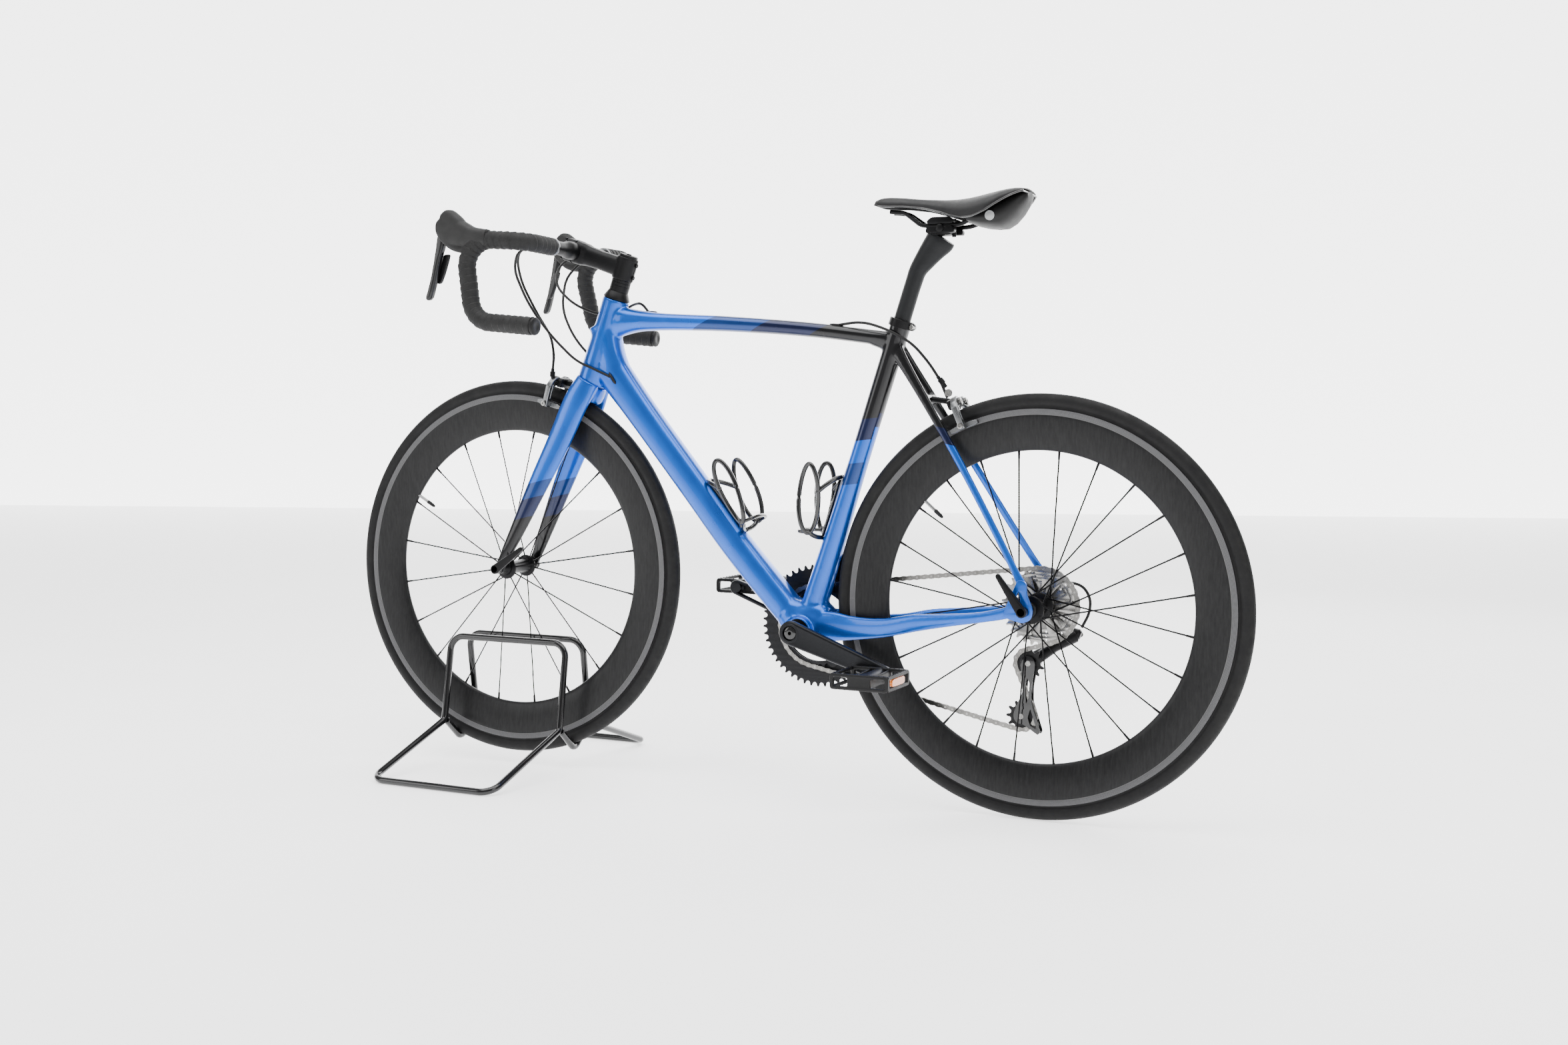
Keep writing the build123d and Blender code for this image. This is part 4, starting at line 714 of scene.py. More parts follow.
bridge = rod((302, -22, 663), (302, 22, 663), 7.5, 24)
bore_foot = on_seat(788) - SEAT_UP * 175
bore = rod(bore_foot, on_seat(788) + SEAT_UP * 15, 13.8, 48)
spindle_bore = rod((BB[0], -60, BB[2]), (BB[0], 60, BB[2]), 20.7, 48)
main = fused("frame_skin", [top_tube, down_tube, seat_tube, head_tube, gusset, seat_gusset, bb_web, bb_core,
                            turned([(-43, 0.5), (-43, 24), (43, 24), (43, 0.5)], BB, 64, closed=False),
                            bb_blend, chainstay(-1), chainstay(1), seatstay(-1), seatstay(1), bridge],
             1.5, 38, [bore, spindle_bore])


def paint_by_place(obj):
    """Gives each face of the frame the paint of the tube that it belongs to."""
    for material in (FRAME_PAINT, TOP_PAINT, SEAT_PAINT, STAY_PAINT):
        obj.data.materials.append(material)
    index = []
    for face in obj.data.polygons:
        x, _, z = (c / MM for c in face.center)
        seat_x = BB[0] + (z - BB[2]) * SEAT_UP[0] / SEAT_UP[2]
        if z > 400 and x > seat_x + 14 and z < 757 - 0.1 * (x - 252):
            index.append(3)
        elif z > 400 and abs(x - seat_x) < 19 and (x > seat_x - 15.5 or z < 735):
            index.append(2)
        elif x > -180 and z > 735 and x < seat_x + 22:
            index.append(1)
        else:
            index.append(0)
    obj.data.polygons.foreach_set("material_index", index)


main.data.materials.clear()
paint_by_place(main)
dress(main, "frame", None, ("head_tube", "top_tube", "down_tube", "seat_tube",
      "bottom_bracket_shell", "chainstays", "seatstays"), sharp=60)

drop_left = [(452, 326), (458, 345), (470, 372), (476, 386), (489, 382), (490, 362), (500, 340),
             (497, 324), (484, 318)]
drop_right = drop_left[:-2] + [(500, 304), (490, 294), (482, 302), (476, 318)]
drops = []
for side, outline in ((-1, drop_left), (1, drop_right)):
    low, high = span(side, 65, 71)
    window = rounded_outline([(467, 346), (477, 368), (481, 352)], 3)
    drops.append(plate([rounded_outline(outline, 6), circle(REAR_AXLE[0], REAR_AXLE[2], 2.7, 24), window],
                       low, high, 0.8))
piece("dropouts", merge(drops), "frame", FRAME_PAINT)

# ------------------------------------------------------------------ fork
def blade(side):
    """One fork blade."""
    return loft_tube([(-322, side * 20, 694, 26, 44), (-340, side * 28, 660, 21, 49),
                      (-372, side * 34, 590, 19, 46), (-412, side * 41, 510, 17, 39),
                      (-452, side * 48, 427, 13, 29), (-474, side * 52.6, 382, 7.5, 22),
                      (-480, side * 53, 369, 6.4, 18)], 60)


crown = sweep([on_head(-0.5), on_head(-6), on_head(-16), on_head(-26), on_head(-34)],
              [26.6, 27, 27, 25, 19], 40)
tyre_gap = turned([(-18.4, 290), (-18.4, 341.2), (18.4, 341.2), (18.4, 290)], FRONT_AXLE, 160)
fork = fused("fork_skin", [blade(-1), blade(1), crown], 1.5, 8, [tyre_gap])
dress(fork, "steering", FORK_PAINT, ("fork",), sharp=60)
tips = []
for side in (-1, 1):
    low, high = span(side, 50, 56)
    tips.append(plate([link_outline((FRONT_AXLE[0], FRONT_AXLE[2]), (-473, 384), 9, 9),
                       circle(FRONT_AXLE[0], FRONT_AXLE[2], 2.7, 24)], low, high, 0.8))
piece("fork_tips", merge(tips), "steering", BLACK_ALLOY)

# ------------------------------------------------------------------ wheels
def tyre(axle, name, body, material, node):
    """Round casing with a bead line at the rim."""
    profile = []
    core = WHEEL_RADIUS - TYRE_SECTION
    for t in np.linspace(math.radians(-42), math.radians(222), 44):
        wide = TYRE_SECTION * math.cos(t)
        tall = TYRE_SECTION * math.sin(t)
        profile.append((wide, core + tall))
    profile += [(-9.6, 313.5), (-9.6, 311.2), (9.6, 311.2), (9.6, 313.5)]
    casing = turned(profile, axle, 220)
    wear = []
    for i in range(6):
        a = 2 * math.pi * i / 6 + 0.3
        spot = axle + np.array([math.cos(a), 0, math.sin(a)]) * 335.4
        wear.append(turned_about([(0, 0.3), (0, 1.1), (0.35, 0.9), (0.35, 0.3)], spot,
                                 (math.cos(a), 0, math.sin(a)), 10))
    piece(name, merge([casing, *wear]), body, material, (node,), sharp=70)


def rim(axle, name, body, material, node, valve_angle):
    """Deep rim with brake tracks and a valve."""
    side_profile = [(12.6, 311.6), (12.6, 303.5), (12.35, 303.0), (12.45, 301.5), (12.3, 297),
                    (11.7, 290), (10.9, 281), (9.7, 272), (8.2, 263), (6.2, 254.5), (4.4, 249.4),
                    (2.4, 247.2), (0, 246.9)]
    outer = side_profile + [(-y, r) for y, r in reversed(side_profile[:-1])]
    inner = [(-10.6, 311.6), (-10.6, 306), (10.6, 306), (10.6, 311.6)]
    skin = turned(outer + inner, axle, 220)
    out = np.array([math.cos(valve_angle), 0, math.sin(valve_angle)])
    foot = axle + out * 247.5
    stem_part = turned_about([(0, 3.1), (2.2, 3.1), (2.4, 2.7), (28, 2.7), (28, 0.4)], foot + out * 2, -out,
                             20)
    cap = turned_about([(0, 3.0), (1, 3.4), (13, 3.0), (17, 1.9), (17.8, 0.4)], foot - out * 22, -out, 20)
    piece(name, skin, body, material, (node,), sharp=50)
    piece(name + "_valve_stem", stem_part, body, BRASS)
    piece(name + "_valve_cap", cap, body, PLASTIC)


def spokes(axle, count, flanges, flange_r, twist, name, body, node):
    """Bladed spokes with a head at the hub and a nipple at the rim."""
    blades, nipples = [], []
    for i in range(count):
        angle = math.radians(360 / count * (i + 0.5))
        flange_y = flanges[0] if i % 2 else flanges[1]
        lean = twist * (1 if (i // 2) % 2 else -1)
        beside = 1.7 * np.sign(lean)
        a = angle + math.radians(lean)
        hub_point = axle + np.array([flange_r * math.cos(a), flange_y + beside, -flange_r * math.sin(a)])
        out = np.array([math.cos(angle), 0, -math.sin(angle)])
        rim_point = axle + out * 248.5
        line = rim_point - hub_point
        path = [hub_point + line * u for u in (0, 0.06, 0.12, 0.5, 0.86, 0.92, 0.95)]
        blades.append(sweep(path, [1.05, 1.05, 0.95, 0.95, 0.95, 1.05, 1.05], 8, up=(0, 1, 0),
                            flat=(0.75, 1.25)))
        blades.append(rod(hub_point - line / np.linalg.norm(line) * 2.4, hub_point, 1.9, 10))
        nipples.append(rod(hub_point + line * 0.945, hub_point + line * 0.995, 1.7, 8, 2.0))
    piece(name, merge(blades), body, SPOKE_BLACK, (node,))
    piece(name + "_nipples", merge(nipples), body, BLACK_ALLOY)


def hub(axle, half, flanges, flange_r, freehub, name, body, node):
    """Hub shell with two spoke flanges, and a freehub body where it has one."""
    left_y, right_y = flanges
    end = half - 0.15
    profile = [(-end, 2.7), (-end, 7.6), (-end + 0.6, 8.4), (-end + 6, 8.5), (left_y - 9, 9.4),
               (left_y - 7, 12), (left_y - 3, 13), (left_y - 2.2, flange_r + 1.6),
               (left_y - 1.4, flange_r + 2.5), (left_y + 1.4, flange_r + 2.5),
               (left_y + 2.2, flange_r + 1.6), (left_y + 3.5, 14), (left_y + 10, 12.2),
               ((left_y + right_y) / 2, 11.2), (right_y - 10, 12.2), (right_y - 3.5, 14),
               (right_y - 2.2, flange_r + 1.6), (right_y - 1.4, flange_r + 2.5),
               (right_y + 1.4, flange_r + 2.5), (right_y + 2.2, flange_r + 1.6), (right_y + 3, 13)]
    if freehub:
        profile += [(right_y + 3.4, 17.0), (freehub - 0.4, 17.0), (freehub, 16.4), (freehub, 8.6)]
    else:
        profile += [(right_y + 7, 12), (right_y + 9, 9.4)]
    profile += [(end - 6, 8.5), (end - 0.6, 8.4), (end, 7.6), (end, 2.7)]
    piece(name, turned(profile, axle, 72), body, HUB_BLACK, (node,), sharp=35)


tyre(FRONT_AXLE, "front_tyre_skin", "front_wheel", FRONT_RUBBER, "front_tyre")
tyre(REAR_AXLE, "rear_tyre_skin", "rear_wheel", REAR_RUBBER, "rear_tyre")
rim(FRONT_AXLE, "front_rim_skin", "front_wheel", FRONT_RIM, "front_rim", math.radians(150))
rim(REAR_AXLE, "rear_rim_skin", "rear_wheel", REAR_RIM, "rear_rim", math.radians(139))
spokes(FRONT_AXLE, 20, (-31, 31), 17, 0, "front_spoke_set", "front_wheel", "front_spokes")
spokes(REAR_AXLE, 24, (-36, 16), 20, 50, "rear_spoke_set", "rear_wheel", "rear_spokes")
hub(FRONT_AXLE, 50, (-31, 31), 17, None, "front_hub_shell", "front_wheel", "front_hub")
hub(REAR_AXLE, 65, (-36, 16), 20, 58.6, "rear_hub_shell", "rear_wheel", "rear_hub")

# ------------------------------------------------------------------ stand
def stand_side(side):
    x0, x1, mid = FRONT_AXLE[0] - 123, FRONT_AXLE[0] + 123, FRONT_AXLE[0]
    top, bend, foot = (side * 27, 228), (side * 50, 76), (side * 258, 6)
    corners = [(mid, *top), (x0, *top), (x0, *bend), (x0, *foot), (x1, *foot), (x1, *bend), (x1, *top),
               (mid, *top)]
    path = filleted(corners, [26, 13, 26, 26, 13, 26])[:-1]
    return sweep(path, 6, 20, closed=True, up=(0, 1, 0))


for side, hand in HANDS:
    piece(f"stand_loop_{hand}", stand_side(side), "stand", STAND_PAINT,
          (f"stand_side_{hand}",))
    feet = []
    for x in (-70, 70):
        pad = sweep([(FRONT_AXLE[0] + x - 9, side * 258, 6), (FRONT_AXLE[0] + x + 9, side * 258, 6)], 5.9,
                    20)
        feet.append(pad)

# ------------------------------------------------------------------ stand cradles
cradles = []
for end in (-1, 1):
    x = FRONT_AXLE[0] + end * 123
    low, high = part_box("stand_cradles")
    path = filleted([(x, -44, 74), (x, 0, low.z / MM + 5.4), (x, 44, 74)], [14], 1.5)
    cradles.append(sweep(path, 5.9, 18, up=(1, 0, 0)))
    for side in (-1, 1):
        cradles.append(turned_about([(-1.6, 5.9), (-0.4, 7.4), (1.0, 6.0)], (x, side * 44, 74),
                                    (0, side, 0.2), 18))
piece("stand_cradle_bars", merge(cradles), "stand", STAND_PAINT, ("stand_cradles",))

# ------------------------------------------------------------------ headset, stem and bar
spacers = turned_about([(157.2, 14.6), (157.2, 23.0), (158.2, 23.2), (160, 22.6), (170.6, 17.4),
                        (171.1, 16.6),
                        (171.5, 17.0), (181.0, 17.0), (181.3, 16.5), (181.6, 17.0), (186.6, 17.0),
                        (186.9, 16.5), (187.2, 17.0), (191.6, 17.0), (191.7, 14.6)], on_head(0), HEAD_UP,
                       56)
cap = turned_about([(231.9, 3), (231.9, 16.3), (235.4, 16.4), (236.3, 15.6), (236.3, 6.5), (235.2, 6.0),
                    (235.2, 3)], on_head(0), HEAD_UP, 48)
piece("headset_stack", merge([spacers, cap]), "steering", STEM_BLACK, ("headset_spacers",))

stem_mid = on_head(211.8)


def block(centre, ahead, across, sections):
    """Soft box through (distance, width across, height, corner) sections."""
    ahead, across = np.asarray(ahead, float), np.asarray(across, float)
    tall = np.cross(ahead, across)
    rings = []
    for s, w, h, power in sections:
        c, d = soft_square(40, power)
        rings.append(np.asarray(centre, float) + ahead * s + w / 2 * c[:, None] * across
                     + h / 2 * d[:, None] * tall)
    return grid(rings)


stem_body = block(stem_mid, HEAD_FORWARD, SIDE, [(0, 34, 36, 3), (25, 33, 34, 3), (50, 33, 33, 3),
                  (76, 35, 35, 3.2), (86, 41, 39, 4), (99, 42, 40, 4.5)])
stem_clamp = turned_about([(191.9, 15), (191.9, 18.4), (193, 19), (230.6, 19), (231.7, 18.4), (231.7, 15)],
                          on_head(0), HEAD_UP, 48)
stem_slot = block(on_head(211.8) - HEAD_FORWARD * 20, HEAD_UP, SIDE, [(-30, 2.2, 16, 2), (30, 2.2, 16, 2)])
stem_obj = fused("stem_body", [stem_body, stem_clamp], 1.1, 5,
                 [rod(BAR - SIDE * 60, BAR + SIDE * 60, 16.0, 64), stem_slot,
                  block(BAR, HEAD_FORWARD, SIDE, [(-0.5, 60, 60, 6), (20, 60, 60, 6)])])
dress(stem_obj, "steering", STEM_BLACK, ("stem",), sharp=35)

BAR_PROFILE = ((-84, 12), (-60, 12), (-46, 12.4), (-40, 14.6), (-34, 15.6), (-28, 15.85),
               (28, 15.85), (34, 15.6), (40, 14.6), (46, 12.4), (60, 12), (84, 12))
bar_path = [np.array([BAR[0], y, BAR[2] + 2 * abs(y) / 172]) for y, _ in BAR_PROFILE]
piece("bar_centre", sweep(bar_path, [r for _, r in BAR_PROFILE], 40), "steering", BLACK_ALLOY,
      ("handlebar",))


def bar_route(side, start_y):
    """Corners of one side of the bar, from the top to the drop's end."""
    x, z = BAR[0], BAR[2]
    return [(x, side * start_y, z + 2 * start_y / 172), (x, side * 172, z + 2),
            (x - 112, side * 184, z + 9), (x - 84, side * 197.5, z - 130.64),
            (x + 41, side * 203.5, z - 142)]


def wrapped(side):
    """Overlapping turns of ribbed tape round the bar."""
    path = resample(filleted(bar_route(side, 87), [38, 42, 46], 1.0), 1.1)
    _, n, b = path_frames(path, (0, 0, 1))
    s = np.arange(len(path)) * 1.1
    a = around(44)
    turn = (s[:, None] / 12.5 + side * a[None, :] / (2 * math.pi)) % 1
    shingle = np.where(turn < 0.12, turn / 0.12, 1 - 0.75 * (turn - 0.12) / 0.88)
    ribs = 0.10 * np.sin(turn * 2 * math.pi * 4)
    r = 13.9 + 1.75 * shingle + ribs
    r[:2] = 12.6
    r[-3:] = 12.6
    rings = path[:, None] + r[..., None] * (np.cos(a)[None, :, None] * n[:, None]
                                            + np.sin(a)[None, :, None] * b[:, None])
    return grid(rings)


piece("tape_wraps", merge([wrapped(-1), wrapped(1)]), "steering", TAPE, ("bar_tape",), sharp=50)
bands = []
for side in (-1, 1):
    bands.append(turned_about([(0, 12.1), (0, 14.6), (0.6, 15.1), (5.0, 15.1), (5.6, 14.6), (5.6, 12.1)],
                              (BAR[0], side * 82, BAR[2] + 0.95), (0, side, 0.0116), 40))
piece("tape_finishing_bands", merge(bands), "steering", GREY_ALLOY)
plugs = []
for side in (-1, 1):
    last, end = [np.array(p) for p in bar_route(side, 0)[-2:]]
    outward = (end - last) / np.linalg.norm(end - last)
    plugs.append(turned_about([(0.05, 10), (0.1, 14.4), (1.6, 14.9), (3.4, 14.2), (4.6, 11.5), (5, 7),
                               (4.4, 5.5),
                               (4.3, 0.5)], end, outward, 36))
piece("end_plugs", merge(plugs), "steering", PLASTIC, ("bar_end_plugs",))


# ------------------------------------------------------------------ hoods, levers and paddles
def hood(side):
    """Parts of one brake hood: grip, horn and heel."""
    y = side * HOOD_SIDE

    def at(dx, dz, w, d):
        return (PIVOT[0] + dx, y, PIVOT[1] + dz, w, d)

    grip = loft_tube([at(92, -12, 27, 30), at(78, -11, 30, 32), at(58, -9, 30, 37), at(40, -4, 30, 45),
                      at(22, 0, 30, 52), at(8, 6, 29, 46), at(-4, 8, 27, 34), at(-9, 8, 22, 22)], 40,
                     power=2.6)
    horn = loft_tube([at(30, -4, 28, 50), at(22, 10, 28, 46), at(14, 22, 27, 36), at(7, 30, 24, 27),
                      at(4, 34, 17, 18)], 26, power=2.5)
    heel = loft_tube([at(60, -26, 20, 12), at(40, -29, 22, 12), at(20, -22, 24, 14), at(0, -7, 24, 12)], 20)
    return [grip, horn, heel]


slot = [(PIVOT[0] + dx, PIVOT[1] + dz) for dx, dz in ((12, 11), (-14, 12), (-60, -40), (-30, -130),
                                                      (26, -130),
                                                      (26, -36), (14, -12))]
for side, hand in HANDS:
    y = side * HOOD_SIDE
    slot_cut = plate([slot], y - 6.8, y + 6.8, 0.01)
    cover = fused(f"hood_cover_{hand}", hood(side), 1.3, 7, [slot_cut])
    dress(cover, "steering", HOOD_RUBBER, ("brake_hoods",), sharp=50)
    blade_line = [(6, 5), (2, 7.5), (-4, 7), (-7.5, 0), (-9.5, -8), (-12, -24), (-17, -50), (-23, -76),
                  (-30, -98),
                  (-33, -106), (-33.5, -110), (-31, -113), (-27, -112.5), (-22, -108), (-18, -96),
                  (-13, -78),
                  (-8.5, -58), (-4, -42), (2, -26), (5, -14), (6, -4)]
    outline = [(PIVOT[0] + p[0], PIVOT[1] + p[1]) for p in blade_line]
    lever = plate([outline, circle(PIVOT[0], PIVOT[1], 2.2, 20)], y - 6.4, y + 6.4, 3.6, 4)
    piece(f"lever_blade_{hand}", lever, f"lever_{hand}", LEVER_BLACK, (f"brake_lever_{hand}",))
    paddle = [(PIVOT[0] + p[0], PIVOT[1] + p[1]) for p in ((9, -35), (-5, -35), (-9, -48), (-19.5, -79),
                                                           (-18.5, -84),
                                                          (-14, -85), (-9, -83), (-2, -68), (4, -51))]
    low, high = sorted((y - side * 6.8, y - side * 11.8))
    piece(f"paddle_blade_{hand}", plate([rounded_outline(paddle, 4)], low, high, 1.9, 3), f"paddle_{hand}",
          LEVER_BLACK, (f"shift_paddle_{hand}",))


# ------------------------------------------------------------------ brakes
def caliper(axle, angle, name, parent, arm_finish, toward_mount):
    """Arms with shoes and pads on their own bodies, and the bridge that carries them."""
    out = np.array([math.cos(math.radians(angle)), 0, math.sin(math.radians(angle))])
    tangential = -np.cross(out, SIDE)
    turn = np.stack([SIDE, tangential, out], 1)

    def place(part):
        return moved(part, turn, axle)

    for side, hand in HANDS:
        arm = [(9, 356), (16, 357.5), (24, 354), (32, 347), (37, 338), (37, 320), (36.5, 304), (33, 301),
               (25, 301),
               (22, 303), (22, 314), (25.5, 324), (24.5, 333), (20, 340), (13, 341.5), (9, 341)]
        line = [(side * y, r) for y, r in arm]
        if side < 0:
            line.reverse()
        hole = circle(side * 15, BRAKE_PIVOT_RADIUS, 3.2, 20)
        rib = [(side * y, r) for y, r in ((28, 342), (32.5, 335), (32.5, 322), (29, 316), (29, 328),
                                          (28.5, 336))]
        body = place(plate([rounded_outline(line, 3), hole, rounded_outline(rib, 1.5)], -4.9, 4.9, 1.6, 3))
        bolts = []
        bolts.append(turned_about([(0, 2.5), (0, 4.6), (3.4, 4.6), (3.6, 4.0), (3.6, 2.2), (2.4, 2.0),
                                   (2.4, 0.3)],
                                  turn @ np.array([side * 37.0, 0, 307.0]) + axle, SIDE * side, 22))
        piece(f"{name}_arm_{hand}", body, f"{name}_arm_{hand}", arm_finish,
              (f"{name}_brake_arm_{hand}",), sharp=35)
        piece(f"{name}_arm_bolt_{hand}", merge(bolts), f"{name}_arm_{hand}", STEEL)
        rings_holder, rings_pad = [], []
        for t in np.linspace(-23.5, 23.5, 17):
            swing = t / PAD_RADIUS
            o = out * math.cos(swing) + tangential * math.sin(swing)
            c = axle + o * PAD_RADIUS
            end = 1 - 0.35 * max(0, (abs(t) - 17) / 6.5)
            for rings, y0, y1, h in ((rings_holder, 18.6, 22.6, 8.4), (rings_pad, 14.5, 18.6, 7.6)):
                h = h * end
                rings.append([c + SIDE * side * yy + o * rr for yy, rr in
                              ((y0, -h / 2 + 0.6), (y0, h / 2 - 0.6), (y0 + 0.6, h / 2), (y1 - 0.6, h / 2),
                               (y1, h / 2 - 0.6), (y1, -h / 2 + 0.6), (y1 - 0.6, -h / 2),
                               (y0 + 0.6, -h / 2))])
        piece(f"{name}_shoe_{hand}", grid(rings_holder), f"{name}_arm_{hand}", GREY_ALLOY)
        piece(f"{name}_pad_{hand}", grid(rings_pad), f"{name}_arm_{hand}", HOOD_RUBBER)
    s = toward_mount
    bridge_line = rounded_outline([(-21, 339), (21, 339), (21, 352), (14, 355.5), (-14, 355.5), (-21, 352)],
                                  5)
    low, high = sorted((s * 5.4, s * 14.2))
    parts = [place(plate([bridge_line], low, high, 1.5, 3))]
    pins = []
    for y in (-15, 15):
        centre = turn @ np.array([y, 0, BRAKE_PIVOT_RADIUS]) + axle
        pins.append(turned_about([(-7, 0.4), (-7, 2.2), (-6.2, 2.9), (8, 2.9)], centre, tangential * s, 20))
        pins.append(turned_about([(5.35, 2), (5.35, 6.2), (6.5, 6.6), (8.5, 6.6), (9.2, 5.4), (9.2, 2.6),
                                  (8.2, 2.4),
                                  (8.2, 0.4)], centre, -tangential * s, 24))
    piece(f"{name}_caliper_bridge", merge(parts), parent, BLACK_ALLOY,
          (f"{name}_caliper_body",))
    piece(f"{name}_caliper_pins", merge(pins), parent, STEEL)


caliper(FRONT_AXLE, FRONT_BRAKE_ANGLE, "front", "steering", GREY_ALLOY, 1)
caliper(REAR_AXLE, REAR_BRAKE_ANGLE, "rear", "frame", GREY_ALLOY, -1)
front_mount = on_head(-8) + HEAD_FORWARD * 20


def brake_pivot(axle, angle):
    heading = np.array([math.cos(math.radians(angle)), 0, math.sin(math.radians(angle))])
    return axle + heading * BRAKE_PIVOT_RADIUS


def mount_bolt(name, pivot, end, body):
    """Bolt from inside a caliper to the frame or fork."""
    piece(name, rod(pivot + (np.asarray(end) - pivot) * 0.2, end, 4.8, 24), body, BLACK_ALLOY)


mount_bolt("front_mount_bolt", brake_pivot(FRONT_AXLE, FRONT_BRAKE_ANGLE), front_mount, "steering")
mount_bolt("rear_mount_bolt", brake_pivot(REAR_AXLE, REAR_BRAKE_ANGLE), (302, 0, 663), "frame")


def barrel(top, down, body, name):
    """Cable adjuster: ferrule, knurled barrel and a slim stem."""
    knurl = [(0, 1.6), (0, 2.9), (5, 3.1), (5.4, 4.6)]
    for i in range(6):
        knurl += [(5.8 + i * 1.4, 5.0), (6.5 + i * 1.4, 4.5)]
    knurl += [(14.6, 4.2), (15, 3.0), (22, 2.6), (22, 0.5)]
    piece(name, turned_about(knurl, top, down, 26), body, BLACK_ALLOY)


barrel((-392, -25, 715), (-0.12, 0.12, -0.98), "steering", "front_barrel")
barrel((324, -21.5, 698), (0.62, 0.18, -0.76), "frame", "rear_barrel")
for place, body, name in (((-399, -21.5, 686), "steering", "front_anchor"),
                          ((342, -19, 672), "frame", "rear_anchor")):
    anchor = turned_about([(-3, 2), (-3, 5.4), (-2, 6.2), (2.4, 6.2), (3.2, 5.4), (3.2, 3), (2, 2.6),
                           (2, 0.4)],
                          place, (0.2, -1, 0), 30)
    piece(name, anchor, body, STEEL)


# ------------------------------------------------------------------ cables
def arc_radii(points):
    """The widest bend that fits at each corner."""
    p = [np.asarray(q, float) for q in points]
    radii = []
    for a, b, c in zip(p, p[1:], p[2:]):
        u, v = b - a, c - b
        angle = math.acos(max(-1, min(1, u @ v / np.linalg.norm(u) / np.linalg.norm(v))))
        radii.append(0.45 * min(np.linalg.norm(u), np.linalg.norm(v)) / math.tan(angle / 2))
    return radii


def cable(points, name, body):
    """A cable through chosen points, bent as widely as its legs allow."""
    path = resample(filleted(points, arc_radii(points), 3.0), 3.0)
    mesh = bpy.data.meshes.new(name)
    verts, faces = sweep(path, CABLE_RADIUS, 16)
    mesh.from_pydata((verts * MM).tolist(), [], faces)
    obj = bpy.data.objects.new(name, mesh)
    bpy.context.scene.collection.objects.link(obj)
    mesh.materials.append(CABLE_BLACK)
    mesh.polygons.foreach_set("use_smooth", [True] * len(mesh.polygons))
    if body == "across":
        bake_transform(obj)
    else:
        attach(obj, body)
    return obj


TAPE_FRONT = BAR[0] - 15.6 - 0.6
front_cable = cable([(TAPE_FRONT, -88, BAR[2]), (-412, -82, 926), (-446, -58, 908), (-450, -36, 866),
                                 (-424, -26, 812), (-396, -24, 772), (-390, -24, 738), (-392, -25, 714)],
                                "front_brake_hose", "steering")
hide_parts("front_brake_cable")
rear_cable = cable([(TAPE_FRONT, 88, BAR[2]), (-408, 80, 924), (-432, 56, 904), (-424, 34, 866),
                    (-384, 27, 832),
                       (-336, 34, 812), (-290, 38, 814), (-262, 30, 828), (-234, 12, 829),
                    (-214, 3, 811.5)],
                      "rear_brake_hose", "across")
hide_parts("control_cables")
for side, hand in HANDS:
    cable([(TAPE_FRONT, side * 100, BAR[2]), (-412, side * 104, 916), (-434, side * 84, 884),
           (-424, side * 54, 826),
           (-388, side * 38, 772), (-340, side * 33, 728), (-302, side * 29, 712), (-276, side * 24, 700)],
          f"shift_hose_{hand}", "across")
brake_run = cable([(140, -2, 783), (189.7, -12, 788), (237.7, -24, 774), (282.3, -26, 750.8),
                      (310.3, -24, 719.5), (328, -20, 692), (339, -16, 664)], "rear_brake_run", "frame")
cable([(487, 68, 368), (514, 76, 372), (537, 86, 366), (549, 90, 346), (548, 90, 322),
                       (536, 88, 298)], "derailleur_loop", "frame")
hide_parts("frame_cables")


def port(centre, along, name):
    """Rubber grommet where a cable enters the frame."""
    part = block(centre, along, SIDE, [(-12, 1, 1, 2), (-10, 5, 3, 2.2), (-4, 8.5, 5, 2.4),
                                       (4, 8.5, 5.6, 2.4),
                                       (10, 6, 5, 2.2), (13, 1, 1, 2)])
    piece(name, part, "frame", PLASTIC)


port((-209, 2, 811.5), (0.99, 0, -0.08), "top_tube_port")
port((140, -2, 783.3), (0.99, 0, -0.13), "rear_cable_port")
for side, hand in HANDS:
    port((-272, side * 22.8, 698), (0.55, 0, -0.83), f"down_tube_port_{hand}")

# ------------------------------------------------------------------ seat clamp, post and saddle
clamp_foot = on_seat(788) - SEAT_UP * 11
ring = turned_about([(0, 16.9), (0, 19.2), (0.8, 20), (12.2, 20), (13, 19.2), (13, 14.2), (11.4, 14.0),
                     (11.2, 16.9)],
                    clamp_foot, SEAT_UP, 56)
back_dir = np.cross(SEAT_UP, SIDE) * -1
back_dir = back_dir if back_dir[0] > 0 else -back_dir
ear = clamp_foot + SEAT_UP * 6.5 + back_dir * 20
ears = block(ear - back_dir * 3, back_dir, SIDE, [(-3, 13, 12.6, 3), (5, 13, 12, 3), (7, 10, 9, 2.6)])
piece("seat_clamp_ring", merge([ring, ears]), "frame", BLACK_ALLOY, ("seat_clamp",))
piece("seat_clamp_bolt", turned_about([(-8.6, 0.4), (-8.6, 1.8), (-7.6, 2.0), (-7.6, 4.0), (-8.8, 4.0),
                                       (-8.8, 4.2),
                                       (-6, 4.4), (6, 4.4), (8.6, 4.2), (8.6, 0.4)], ear, SIDE, 24),
      "frame", STEEL)

